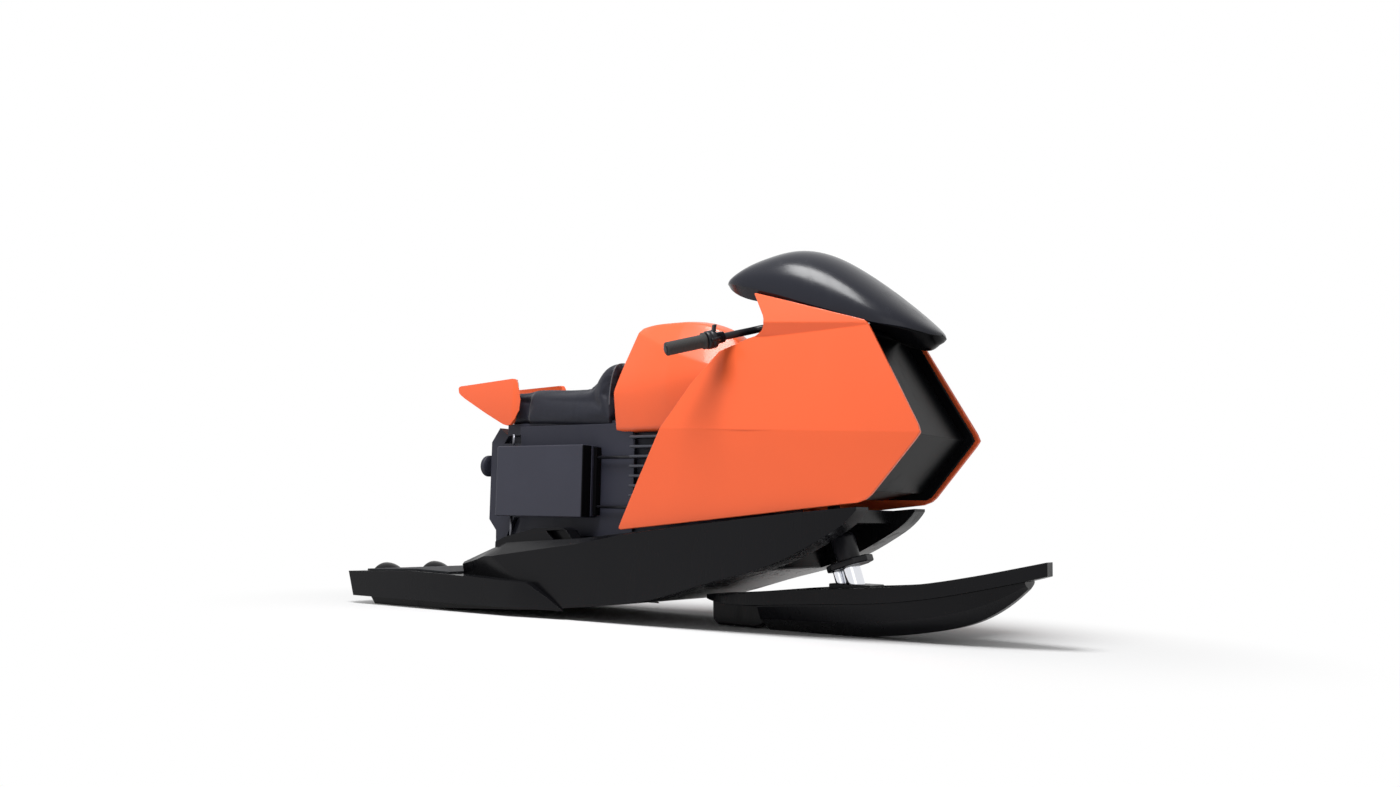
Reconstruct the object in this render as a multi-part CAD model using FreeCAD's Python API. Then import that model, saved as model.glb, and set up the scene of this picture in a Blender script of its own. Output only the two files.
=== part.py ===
import FreeCAD, Part
import math
import os

# Straddle personal watercraft with a forked bow and a steered front ski.
# Millimetres. X runs forward to the ski's tip, Y to the port side, Z up from
# the floor that the hull's stern and the ski stand on.

V = FreeCAD.Vector
os.makedirs("parts", exist_ok=True)

# Clearances and walls
SEAT_GAP = 0.3
PANEL_T = 12.0
STEER_CLEAR = 6.0

# Hull
HULL_REAR_X = -740.0
HULL_HALF_W = 250.0
HULL_BOTTOM_W = 238.0
DECK_INSET = 45.0
BOW_X = 785.0
BOW_FORE_Y = 222.0
BOTTOM_LINE = [(-1141.0, 0.0), (-900.0, 2.0), (-600.0, 13.0), (-331.0, 28.0), (-150.0, 46.0),
               (77.0, 76.0), (217.0, 113.0), (310.0, 141.0), (432.0, 173.0), (577.0, 224.0),
               (686.0, 282.0), (743.0, 319.0), (BOW_X, 362.0)]
GUNWALE_LINE = [(HULL_REAR_X, 120.0), (-614.0, 181.0), (-540.0, 194.0), (-200.0, 240.0),
                (0.0, 276.0), (290.0, 314.0), (560.0, 346.0), (BOW_X, 368.0)]
DECK_LINE = [(HULL_REAR_X, 164.0), (-614.0, 211.0), (-540.0, 236.0), (-200.0, 258.0),
             (0.0, 281.0), (290.0, 317.0), (560.0, 349.0), (BOW_X, 370.0)]
TUNNEL_REAR_X = 470.0
TUNNEL_HALF_W = 150.0
BRIDGE_T = 30.0
BRIDGE_FRONT_X = 715.0
STRAKE_Y = (70.0, 150.0, 205.0)
STRAKE_W = 16.0
STRAKE_H = 7.0

# Rear platform and mat
STERN_X = -1245.0
TRANSOM_RAKE = 31.0
PLAT_HALF_W = 290.0
PLAT_BOTTOM_Z = 28.0
PLAT_TOP_LINE = [(STERN_X, 114.0), (-913.0, 127.0), (-632.0, 121.0), (-380.0, 112.0),
                 (-296.0, 66.0), (-240.0, 30.0)]
PLAT_CORNER_R = 45.0
PLANING_REAR_X = -1167.0
MAT_T = 7.0
MAT_REAR_X = -1175.0
MAT_FRONT_X = -752.0
MAT_HALF_W = 262.0
MAT_PITCH = 35.0
MAT_GROOVE = 5.0
BLISTER_Y = 118.0
BLISTER_R = 60.0
BLISTER_H = 27.0

# Jet pumps
PUMP_Y = BLISTER_Y
PUMP_Z = 62.0
PUMP_BORE_R = 42.0
PUMP_WALL = 5.0
PUMP_FRONT_X = -985.0
PUMP_BACK_X = -1212.0
NOZZLE_LEN = 70.0
NOZZLE_R = 32.0
HUB_R = 14.0
IMPELLER_X = -1040.0
IMPELLER_LEN = 42.0
IMPELLER_GAP = 1.5
IMPELLER_BLADES = 3
IMPELLER_TWIST = 70.0
BLADE_T = 3.0
STATOR_BLADES = 4
STATOR_LEN = 40.0
PUMP_SHAFT_R = 8.0
PUMP_SHAFT_SEAT = 22.0
IMPELLER_SPACE = 5.0
INTAKE_X = (-970.0, -800.0)
INTAKE_HALF_W = 40.0
GRATE_BARS = 3
GRATE_BAR_W = 4.0

# Drive motors, one plain block in the hull
MOTOR_X = (-650.0, -430.0)
MOTOR_HALF_W = 150.0
MOTOR_Z = (40.0, 165.0)

# Body core
CORE_HALF_W = 82.0
CORE_REAR_X = -764.0
CORE_FRONT_X = 440.0
CORE_HEAD_LOW = (CORE_FRONT_X, 520.0)
CORE_TOP_Z = 603.7
CORE_HEAD_TOP = (330.0, CORE_TOP_Z)
CORE_REAR_LINE = [(-668.0, CORE_TOP_Z), (-712.0, 634.0), (CORE_REAR_X, 566.0), (CORE_REAR_X, 326.0),
                  (-716.0, 273.0), (-712.0, 180.0)]
CORE_REAR_CHAMFER = 14.0
CASE_X = (-636.0, -262.0)
CASE_Z = (324.0, 566.0)
CASE_OUT_Y = 170.0
CASE_PLATE_T = 5.0
CASE_PLATE_X = -247.0
CASE_PLATE_Z = (330.0, 554.0)
CASE_PLATE_Y = 128.0
FIN_X = (-118.0, 96.0)
FIN_Z = (318.0, 590.0)
FIN_COUNT = 11
FIN_T = 5.0
FIN_OUT_Y = 134.0
BAR_R = 4.0
BAR_Y = 112.0
BAR_Z = (362.0, 523.0)
ROD_R = 5.0
ROD_X = -600.0
ROD_Y = 128.0
PORT_CAP_R = 38.0
PORT_CAP_T = 28.0
PORT_CAP_Y = -62.0
PORT_CAP_Z = 500.0

# Seat and tail
SEAT_BASE_Z = (CORE_TOP_Z + SEAT_GAP, 640.0)
SEAT_X = (-668.0, -176.0)
SEAT_HALF_W = 118.0
SEAT_TOP_Z = 757.0
SEAT_LIP_Z = 836.0
TAIL_FRONT_X = -600.0
TAIL_TIP_X = -903.0
TAIL_FRONT_Y = 139.0
TAIL_TIP_Y = 112.0
TAIL_T = 16.0

# Tank cowl
TANK_BOTTOM_Z = CORE_TOP_Z + SEAT_GAP
TANK_STATIONS = [
    (-240.0, 108.0, 122.0, 720.0, 106.0, 826.0, 52.0, 948.0, 958.0),
    (-60.0, 114.0, 132.0, 740.0, 112.0, 858.0, 60.0, 956.0, 971.0),
    (110.0, 118.0, 138.0, 756.0, 116.0, 868.0, 62.0, 954.0, 969.0),
    (250.0, 118.0, 138.0, 756.0, 104.0, 840.0, 50.0, 908.0, 922.0),
    (325.0, 112.0, 130.0, 740.0, 94.0, 796.0, 43.0, 836.0, 846.0)]
TANK_REAR_LINE = [(-164.0, 600.0), (-169.0, 735.0), (-152.0, 802.0), (-104.0, 960.0),
                  (-100.0, 1000.0)]

# Side fairings
FAIR_TOP_EDGE = [(397.0, 1008.0), (788.0, 891.0)]
FAIR_OUTLINE = [(-52.0, 289.0), (25.0, 444.0), (110.0, 604.0), (208.0, 735.0), (300.0, 833.0),
                (358.0, 852.0), (438.0, 884.0), (456.0, 905.0), (448.0, 929.0)] + FAIR_TOP_EDGE + [
                (972.0, 573.0), (826.0, 401.0), (790.0, 382.0), (399.0, 337.0)]
FAIR_STATIONS = [
    (-120.0, 206.0, 213.0, 612.0, 172.0, 1000.0, 130.0),
    (430.0, 211.0, 219.0, 591.0, 164.0, 928.0, 136.0),
    (800.0, 208.0, 211.0, 576.0, 161.0, 888.0, 128.0),
    (1000.0, 193.0, 199.0, 569.0, 146.0, 852.0, 110.0)]
FAIR_BOTTOM_Z = 260.0
FAIR_TOP_Z = 1060.0
BRACKET_W = 16.0
BRACKETS = [(160.0, 400.0), (400.0, 400.0), (200.0, 560.0)]

# Front infill and screen
INFILL_LINE = [(655.0, 394.0), (790.0, 416.0), (928.0, 573.0), (752.0, 872.0)]
INFILL_T = 10.0
SCREEN_T = 7.0
ARCH_STEPS = 8
SCREEN_STATIONS = [
    (268.0, 110.0, 1040.0, 1074.0),
    (292.0, 126.0, 1034.0, 1094.0),
    (335.0, 142.0, 1018.0, 1122.0),
    (400.0, 150.0, 1000.0, 1144.0),
    (480.0, 155.0, 984.0, 1155.0),
    (570.0, 157.0, 962.0, 1138.0),
    (680.0, 154.0, 928.0, 1080.0),
    (790.0, 143.0, 893.0, 1000.0),
    (870.0, 110.0, 868.0, 932.0),
    (920.0, 64.0, 846.0, 884.0),
    (936.0, 26.0, 844.0, 861.0)]

# Steering: one raked axis from the handlebar to the ski
AXIS_X = 657.0
AXIS_Z = 181.0
RAKE_DEG = 18.5
SHAFT_R = 18.0
SHAFT_TOP_Z = 898.0
HEAD_R = 32.0
HEAD_Z = (570.0, 800.0)
HEAD_RUN_GAP = 0.5
BUSH_R = 46.0
BUSH_Z = (312.0, 352.0)
YOKE_R = 36.0
YOKE_TOP_Z = 292.0
CLAMP_LEN = 138.0
CLAMP_W = 96.0
CLAMP_T = 20.0
CLAMP_Z = 206.0
STRUT_R = 27.0
STRUT_REAR_R = 15.0
STRUT_REAR_BACK = 46.0

# Handlebar
BAR_TUBE_R = 11.0
BAR_CLAMP_HALF = 52.0
BAR_CENTRE = (424.0, 0.0, 918.0)
BAR_END = (229.0, 362.0, 823.0)
BAR_INNER = (412.0, 62.0, 914.0)
GRIP_R = 18.0
GRIP_LEN = 128.0
CONTROL_LEN = 62.0
LEVER_LEN = 135.0

# Ski
SKI_REAR_X = 185.0
SKI_TIP_X = 1245.0
SKI_PLAN = [(SKI_REAR_X, 66.0), (260.0, 100.0), (450.0, 120.0), (700.0, 122.0), (900.0, 112.0),
            (1060.0, 86.0), (1170.0, 54.0), (SKI_TIP_X, 22.0)]
SKI_TOP_LINE = [(SKI_REAR_X, 97.0), (300.0, 105.0), (450.0, 122.0), (620.0, 136.0), (780.0, 147.0),
                (950.0, 168.0), (1100.0, 198.0), (SKI_TIP_X, 233.0)]
SKI_RIM_H = [(SKI_REAR_X, 14.0), (300.0, 32.0), (450.0, 42.0), (620.0, 44.0), (780.0, 44.0),
             (950.0, 42.0), (1100.0, 40.0), (SKI_TIP_X, 38.0)]
SKI_KEEL_LINE = [(395.0, 0.0), (650.0, 0.0), (800.0, 10.0), (930.0, 30.0), (1050.0, 64.0),
                 (1134.0, 112.0), (1190.0, 160.0)]
SKI_RAIL_H = 10.0
SKI_RAIL_W = 16.0
SKI_CHANNEL_X = (450.0, 1060.0)
SADDLE_X = (604.0, 738.0)
SADDLE_HALF_W = 46.0
SADDLE_RISE = 5.0
FIN_OUTLINE = [(190.0, 120.0), (194.0, 22.0), (212.0, 5.0), (350.0, 3.0), (376.0, 12.0),
               (394.5, 30.0), (394.5, 120.0)]
FIN_HALF_W = 44.0


def interp(line, x):
    """Height of a polyline at x."""
    for (x0, z0), (x1, z1) in zip(line, line[1:]):
        if x <= x1:
            return z0 + (z1 - z0) * (x - x0) / (x1 - x0)
    return line[-1][1]


def side_face(points, y=0.0):
    """Flat face in the side plane from straight runs."""
    ring = [V(x, y, z) for x, z in points]
    return Part.Face(Part.makePolygon(ring + ring[:1]))


def side_prism(points, y0, y1):
    """Side outline carried across from y0 to y1."""
    return side_face(points, y0).extrude(V(0, y1 - y0, 0))


def plan_prism(points, z0, z1):
    """Plan outline carried up from z0 to z1."""
    ring = [V(x, y, z0) for x, y in points]
    return Part.Face(Part.makePolygon(ring + ring[:1])).extrude(V(0, 0, z1 - z0))


def spline(points):
    """Smooth curve through the points."""
    curve = Part.BSplineCurve()
    curve.interpolate(points)
    return curve.toShape()


def curved_prism(curve_xz, straight_xz, half_w):
    """Outline of one smooth run, closed by straight runs, carried across the width."""
    low = [V(x, -half_w, z) for x, z in curve_xz]
    high = [V(x, -half_w, z) for x, z in straight_xz]
    ring = [low[-1]] + high + [low[0]]
    edges = [spline(low)] + [Part.makeLine(a, b) for a, b in zip(ring, ring[1:])]
    return Part.Face(Part.Wire(edges)).extrude(V(0, 2 * half_w, 0))


def loft(sections, ruled=False):
    """Closed solid through polygons that have the same number of corners."""
    wires = []
    for ring in sections:
        corners = [V(*p) for p in ring]
        wires.append(Part.makePolygon(corners + corners[:1]))
    return Part.makeLoft(wires, True, ruled)


def mirror(shape):
    """The same piece on the other side of the centre plane."""
    return shape.mirror(V(0, 0, 0), V(0, 1, 0))


def box(x0, x1, y0, y1, z0, z1):
    return Part.makeBox(x1 - x0, y1 - y0, z1 - z0, V(x0, y0, z0))


def rod(start, end, radius):
    """Round bar between two points."""
    a = V(*start)
    run = V(*end) - a
    return Part.makeCylinder(radius, run.Length, a, run)


def turned(profile, centre, axis):
    """Solid of revolution from (distance along the axis, radius) corners."""
    ring = [V(r, 0, t) for t, r in profile]
    face = Part.Face(Part.makePolygon(ring + ring[:1]))
    solid = face.revolve(V(0, 0, 0), V(0, 0, 1), 360)
    solid.Placement = FreeCAD.Placement(V(*centre), FreeCAD.Rotation(V(0, 0, 1), V(*axis)))
    return solid


def axis_x(z):
    """Where the steering axis is at height z."""
    return AXIS_X - math.tan(math.radians(RAKE_DEG)) * (z - AXIS_Z)


def on_axis(shape, z):
    """Lean a piece that was made upright at the origin onto the steering axis at z."""
    placed = shape.copy()
    lean = FreeCAD.Rotation(V(0, 1, 0), -RAKE_DEG)
    placed.Placement = FreeCAD.Placement(V(axis_x(z), 0, z), lean).multiply(shape.Placement)
    return placed


def axis_span(z0, z1):
    """Length along the steering axis between two heights."""
    return (z1 - z0) / math.cos(math.radians(RAKE_DEG))


def axis_tube(r_out, r_in, z0, z1):
    length = axis_span(z0, z1)
    tube = Part.makeCylinder(r_out, length)
    if r_in > 0:
        tube = tube.cut(Part.makeCylinder(r_in, length))
    return on_axis(tube, z0)


def rounded(shape, radius, chosen):
    """Fillet the edges that the test picks."""
    edges = [e for e in shape.Edges if chosen(e)]
    return shape.makeFillet(radius, edges)


def save(node, shape):
    shape.exportStep("parts/%s.step" % node)


# Hull

def deck_section(x):
    """Cross-section corners at x: side, chamfer at the gunwale and flat deck."""
    gun = interp(GUNWALE_LINE, x)
    deck = max(interp(DECK_LINE, x), gun + 1.0)
    inset = DECK_INSET if x < -200 else DECK_INSET * 0.5
    return [(x, -HULL_HALF_W, -20), (x, HULL_HALF_W, -20), (x, HULL_HALF_W, gun),
            (x, HULL_HALF_W - inset, deck), (x, -HULL_HALF_W + inset, deck),
            (x, -HULL_HALF_W, gun)]


def pump_channel(grow):
    """Room of one pump: a round bore from the transom and a ramp down to the bottom."""
    r = PUMP_BORE_R + PUMP_WALL + grow
    bore = rod((STERN_X - 40, PUMP_Y, PUMP_Z), (PUMP_FRONT_X, PUMP_Y, PUMP_Z), r)
    w = INTAKE_HALF_W
    ramp = loft([[(PUMP_FRONT_X - 5, PUMP_Y - w, 4), (PUMP_FRONT_X - 5, PUMP_Y + w, 4),
                  (PUMP_FRONT_X - 5, PUMP_Y + w, PUMP_Z + 30), (PUMP_FRONT_X - 5, PUMP_Y - w, PUMP_Z + 30)],
                 [(INTAKE_X[1], PUMP_Y - w, -20), (INTAKE_X[1], PUMP_Y + w, -20),
                  (INTAKE_X[1], PUMP_Y + w, 8), (INTAKE_X[1], PUMP_Y - w, 8)]], True)
    mouth = box(INTAKE_X[0], INTAKE_X[1], PUMP_Y - w, PUMP_Y + w, -20, 10)
    return bore.fuse(ramp).fuse(mouth)


def hull_solid():
    stations = sorted({x for x, _ in GUNWALE_LINE})
    upper = loft([deck_section(x) for x in stations], True)
    low = [(x, z) for x, z in BOTTOM_LINE]
    side = curved_prism(low, [(BOW_X, 420.0), (BOTTOM_LINE[0][0], 420.0)], HULL_HALF_W + 5)
    main = upper.common(side)
    keel = curved_prism(low, [(BOW_X, 400.0), (-739.0, 400.0), (-739.0, PLAT_BOTTOM_Z),
                              (PLANING_REAR_X, PLAT_BOTTOM_Z)], HULL_HALF_W)
    keel = keel.common(box(-1300, HULL_REAR_X, -300, 300, -5, PLAT_BOTTOM_Z))
    hull = main.fuse(keel)
    bow = [V(300, HULL_HALF_W + 1, 0), V(520, HULL_HALF_W - 2, 0), V(690, 238, 0), V(BOW_X, BOW_FORE_Y, 0)]
    for side_sign in (1, -1):
        edge = spline([V(p.x, side_sign * p.y, -10) for p in bow])
        a = V(BOW_X, side_sign * BOW_FORE_Y, -10)
        b = V(300, side_sign * (HULL_HALF_W + 1), -10)
        outer = [a, V(BOW_X + 20, side_sign * 300, -10), V(300, side_sign * 300, -10), b]
        wire = Part.Wire([edge] + [Part.makeLine(p, q) for p, q in zip(outer, outer[1:])])
        hull = hull.cut(Part.Face(wire).extrude(V(0, 0, 450)))
    bridge = interp(GUNWALE_LINE, TUNNEL_REAR_X + 40) - BRIDGE_T
    tunnel = [(TUNNEL_REAR_X, 0.0), (TUNNEL_REAR_X, 190.0), (TUNNEL_REAR_X + 50, bridge),
              (BRIDGE_FRONT_X, bridge + 16), (BRIDGE_FRONT_X, 440.0), (BOW_X + 40, 440.0),
              (BOW_X + 40, 0.0)]
    hull = hull.cut(side_prism(tunnel, -TUNNEL_HALF_W, TUNNEL_HALF_W))
    hull = hull.cut(box(MOTOR_X[0] - 10, MOTOR_X[1] + 10, -MOTOR_HALF_W - 10, MOTOR_HALF_W + 10,
                        MOTOR_Z[0], MOTOR_Z[1] + 10))
    hull = hull.cut(axis_tube(BUSH_R + SEAT_GAP, 0, BUSH_Z[0] - 40, BUSH_Z[1] + 60))
    for channel in (pump_channel(SEAT_GAP), mirror(pump_channel(SEAT_GAP))):
        hull = hull.cut(channel)
    return hull


def platform_solid():
    w = PLAT_HALF_W
    line = PLAT_TOP_LINE
    side = [(STERN_X + TRANSOM_RAKE, PLAT_BOTTOM_Z), (line[-1][0], PLAT_BOTTOM_Z)] + line[::-1]
    body = side_prism(side, -w, w)
    taper = 120.0
    front = line[-1][0]
    plan = [(STERN_X - 5, -w), (front - taper - 90, -w), (front + 5, -HULL_HALF_W - 4),
            (front + 5, HULL_HALF_W + 4), (front - taper - 90, w), (STERN_X - 5, w)]
    body = body.common(plan_prism(plan, 0, 200))
    body = body.cut(box(HULL_REAR_X - SEAT_GAP, 0, -HULL_HALF_W - SEAT_GAP, HULL_HALF_W + SEAT_GAP, 0, 200))
    ball_r = (BLISTER_R ** 2 + BLISTER_H ** 2) / (2 * BLISTER_H)
    for sign in (1, -1):
        centre = V(STERN_X + 2, sign * BLISTER_Y, line[0][1] + BLISTER_H - ball_r)
        dome = Part.makeSphere(ball_r, centre)
        body = body.fuse(dome.common(box(STERN_X + 1, -1000, -300, 300, line[0][1] - 12, 200)))
    for channel in (pump_channel(SEAT_GAP), mirror(pump_channel(SEAT_GAP))):
        body = body.cut(channel)
    return body


def mat_solid():
    """Traction mat with cross grooves, on the sloping deck."""
    line = PLAT_TOP_LINE
    low = [(MAT_REAR_X, interp(line, MAT_REAR_X)), (line[1][0], line[1][1]),
           (MAT_FRONT_X, interp(line, MAT_FRONT_X))]
    low = [(x, z + SEAT_GAP) for x, z in low]
    high = [(x, z + MAT_T) for x, z in low]
    mat = side_prism(low + high[::-1], -MAT_HALF_W, MAT_HALF_W)
    count = int(2 * MAT_HALF_W / MAT_PITCH)
    for i in range(1, count):
        y = -MAT_HALF_W + i * 2 * MAT_HALF_W / count
        groove = [(x, z + MAT_T * 0.45) for x, z in low]
        top = [(x, z + 20) for x, z in low]
        cutter = side_prism(groove + top[::-1], y - MAT_GROOVE / 2, y + MAT_GROOVE / 2)
        mat = mat.cut(cutter)
    return mat


def pump_housing():
    """Jet pump: round duct, nozzle that narrows aft, stator vanes and their hub."""
    r = PUMP_BORE_R
    t = PUMP_WALL
    back = PUMP_BACK_X
    outer = [(0, NOZZLE_R), (0, NOZZLE_R + t), (NOZZLE_LEN, r + t), (PUMP_FRONT_X - back, r + t),
             (PUMP_FRONT_X - back, r), (NOZZLE_LEN, r)]
    duct = turned(outer, (back, PUMP_Y, PUMP_Z), (1, 0, 0))
    stator_x = IMPELLER_X - IMPELLER_LEN - STATOR_LEN - IMPELLER_SPACE
    seat_r = PUMP_SHAFT_R + SEAT_GAP
    seat_x = STATOR_LEN - PUMP_SHAFT_SEAT
    hub = turned([(-46, 0), (-40, 5), (0, HUB_R), (STATOR_LEN, HUB_R), (STATOR_LEN, seat_r),
                  (seat_x, seat_r), (seat_x, 0)], (stator_x, PUMP_Y, PUMP_Z), (1, 0, 0))
    pump = duct.fuse(hub)
    for i in range(STATOR_BLADES):
        vane = box(0, STATOR_LEN, -BLADE_T / 2, BLADE_T / 2, HUB_R - 3, PUMP_BORE_R + 1)
        vane.rotate(V(0, 0, 0), V(1, 0, 0), i * 360.0 / STATOR_BLADES)
        vane.translate(V(stator_x, PUMP_Y, PUMP_Z))
        pump = pump.fuse(vane)
    return pump


def impeller():
    """Hub with helical blades on a short shaft."""
    x0 = IMPELLER_X - IMPELLER_LEN
    pin = IMPELLER_SPACE + PUMP_SHAFT_SEAT - 1
    hub = turned([(-pin, 0), (-pin, PUMP_SHAFT_R), (0, PUMP_SHAFT_R), (0, HUB_R), (IMPELLER_LEN, HUB_R),
                  (IMPELLER_LEN + 14, PUMP_SHAFT_R),
                  (PUMP_FRONT_X - x0 - 4, PUMP_SHAFT_R), (PUMP_FRONT_X - x0 - 4, 0)],
                 (x0, PUMP_Y, PUMP_Z), (1, 0, 0))
    tip = PUMP_BORE_R - IMPELLER_GAP
    rotor = hub
    for i in range(IMPELLER_BLADES):
        rings = []
        for k in range(4):
            turn = math.radians(i * 360.0 / IMPELLER_BLADES + IMPELLER_TWIST * k / 3.0)
            x = x0 + 2 + (IMPELLER_LEN - 4) * k / 3.0
            radial = V(0, math.cos(turn), math.sin(turn))
            across = V(0, -math.sin(turn), math.cos(turn)) * (BLADE_T * 0.9)
            centre = V(x, PUMP_Y, PUMP_Z)
            inner = centre + radial * (HUB_R - 3)
            outer = centre + radial * (tip - 0.4)
            rings.append([tuple(inner - across), tuple(outer - across * 0.6),
                          tuple(outer + across * 0.6), tuple(inner + across)])
        rotor = rotor.fuse(loft(rings, True))
    return rotor


def intake_grate():
    """Bars along both pump mouths, flush with the bottom."""
    bars = []
    for sign in (1, -1):
        for i in range(GRATE_BARS):
            y = PUMP_Y - INTAKE_HALF_W + (i + 1) * 2 * INTAKE_HALF_W / (GRATE_BARS + 1)
            bars.append(box(INTAKE_X[0], INTAKE_X[1], sign * y - GRATE_BAR_W / 2,
                            sign * y + GRATE_BAR_W / 2, 4, 10))
        for x in INTAKE_X:
            x0 = x + (0.3 if x == INTAKE_X[0] else -8.3)
            bars.append(box(x0, x0 + 8, sign * PUMP_Y - INTAKE_HALF_W + SEAT_GAP,
                            sign * PUMP_Y + INTAKE_HALF_W - SEAT_GAP, 4, 10))
    grate = bars[0].fuse(bars[1:])
    return grate


def foot_guard():
    """Raised wedge on the port deck with a pocket in its front half."""
    y0 = 150.0
    y1 = HULL_HALF_W - DECK_INSET - 2
    deck = [(x, interp(DECK_LINE, x) + SEAT_GAP) for x in (-590.0, -540.0, -232.0)]
    top = [(-272.0, 287.0), (-380.0, 287.0), (-470.0, 270.0)]
    wedge = side_prism(deck + top, y0, y1)
    pocket = side_prism([(-352.0, 256.0), (-262.0, 258.0), (-284.0, 280.0), (-372.0, 280.0)],
                        y1 - 26, y1 + 5)
    return wedge.cut(pocket)


# Body

def core_solid():
    """Spine of the body: stands on the deck, carries the seat, tank, cases and fairings."""
    deck = [(x, z + SEAT_GAP) for x, z in DECK_LINE if x < CORE_FRONT_X and x > CORE_REAR_LINE[-1][0]]
    foot = (CORE_REAR_LINE[-1][0], interp(DECK_LINE, CORE_REAR_LINE[-1][0]) + SEAT_GAP)
    toe = (CORE_FRONT_X, interp(DECK_LINE, CORE_FRONT_X) + SEAT_GAP)
    outline = [foot] + deck + [toe, CORE_HEAD_LOW, CORE_HEAD_TOP] + CORE_REAR_LINE[:-1]
    core = side_prism(outline, -CORE_HALF_W, CORE_HALF_W)
    c = CORE_REAR_CHAMFER
    for sign in (1, -1):
        corner = [(CORE_REAR_X - 5, sign * (CORE_HALF_W - c)), (CORE_REAR_X, sign * (CORE_HALF_W - c)),
                  (CORE_REAR_X + c, sign * CORE_HALF_W), (CORE_REAR_X + c, sign * (CORE_HALF_W + 5)),
                  (CORE_REAR_X - 5, sign * (CORE_HALF_W + 5))]
        core = core.cut(plan_prism(corner, 100, 700))
    half = BRACKET_W / 2
    for x, z in BRACKETS:
        reach = fairing_inner_y(x, z) - 2 * SEAT_GAP
        core = core.fuse(box(x - half, x + half, -reach, reach, z - half, z + half))
    return core


def battery_case():
    """Port battery case: the big box, its lid step and the thin plates on its ends."""
    case = box(CASE_X[0], CASE_X[1], CORE_HALF_W + SEAT_GAP, CASE_OUT_Y, CASE_Z[0], CASE_Z[1])
    case = rounded(case, 7.0, lambda e: e.BoundBox.YLength < 0.1 and e.BoundBox.YMin > CASE_OUT_Y - 1)
    plate = box(CASE_PLATE_X - CASE_PLATE_T, CASE_PLATE_X, CORE_HALF_W + SEAT_GAP, CASE_PLATE_Y,
                CASE_PLATE_Z[0], CASE_PLATE_Z[1])
    link = box(CASE_X[1] - 1, CASE_PLATE_X, CORE_HALF_W + SEAT_GAP, CORE_HALF_W + 14,
               CASE_PLATE_Z[0] + 20, CASE_PLATE_Z[1] - 20)
    return case.fuse(plate).fuse(link)


def side_rails():
    """Two level bars ahead of the case and the slim rods that carry it, port side."""
    pieces = []
    for z in BAR_Z:
        pieces.append(box(CASE_PLATE_X + SEAT_GAP, FIN_X[0] - SEAT_GAP, BAR_Y - BAR_R, BAR_Y + BAR_R,
                          z - BAR_R, z + BAR_R))
    low = interp(DECK_LINE, ROD_X + ROD_R) + SEAT_GAP
    pieces.append(rod((ROD_X, ROD_Y, low), (ROD_X, ROD_Y, CASE_Z[0] - SEAT_GAP), ROD_R))
    pieces.append(rod((ROD_X, ROD_Y, CASE_Z[1] + SEAT_GAP), (ROD_X, ROD_Y, SEAT_BASE_Z[0] - SEAT_GAP), ROD_R))
    return Part.makeCompound(pieces)


def cooling_fins():
    """Level cooling fins on a back plate, port side."""
    y0 = CORE_HALF_W + SEAT_GAP
    pack = box(FIN_X[0], FIN_X[1], y0, y0 + 8, FIN_Z[0], FIN_Z[1])
    pack = pack.fuse(box(FIN_X[0], FIN_X[0] + 6, y0, FIN_OUT_Y, FIN_Z[0], FIN_Z[1]))
    step = (FIN_Z[1] - FIN_Z[0] - FIN_T) / (FIN_COUNT - 1)
    for i in range(FIN_COUNT):
        z = FIN_Z[0] + i * step
        pack = pack.fuse(box(FIN_X[0], FIN_X[1], y0, FIN_OUT_Y, z, z + FIN_T))
    return pack


def port_cap():
    """Round charging cover on the rear face."""
    x = CORE_REAR_X
    profile = [(SEAT_GAP, 0), (SEAT_GAP, 24), (8, PORT_CAP_R), (PORT_CAP_T - 6, PORT_CAP_R),
               (PORT_CAP_T, PORT_CAP_R - 8), (PORT_CAP_T, 0)]
    return turned(profile, (x, PORT_CAP_Y, PORT_CAP_Z), (-1, 0, 0))


def seat_base():
    w = SEAT_HALF_W - 10
    outline = [(SEAT_X[0] + 6, SEAT_BASE_Z[0]), (SEAT_X[1] + 2, SEAT_BASE_Z[0]),
               (SEAT_X[1] + 2, SEAT_BASE_Z[1]), (SEAT_X[0] - 6, SEAT_BASE_Z[1])]
    return side_prism(outline, -w, w)


def seat_pad():
    """Padded seat with a raised lip against the tank."""
    z0 = SEAT_BASE_Z[1] + SEAT_GAP
    top = [(-160.0, 828.0), (-172.0, SEAT_LIP_Z), (-203.0, SEAT_LIP_Z), (-230.0, 818.0),
           (-264.0, 776.0), (-302.0, SEAT_TOP_Z), (-578.0, SEAT_TOP_Z), (-672.0, 753.0), (-668.0, z0)]
    pad = side_prism([(-172.0, z0), (-173.0, 735.0)] + top, -SEAT_HALF_W, SEAT_HALF_W)
    slope = []
    for sign in (1, -1):
        corner = [V(-700, sign * (SEAT_HALF_W + 1), 700), V(-700, sign * (SEAT_HALF_W + 1), 900),
                  V(-700, sign * (SEAT_HALF_W - 38), 900), V(-700, sign * (SEAT_HALF_W - 22), 762)]
        slope.append(Part.Face(Part.makePolygon(corner + corner[:1])).extrude(V(600, 0, 0)))
    for piece in slope:
        pad = pad.cut(piece)
    return pad


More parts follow.
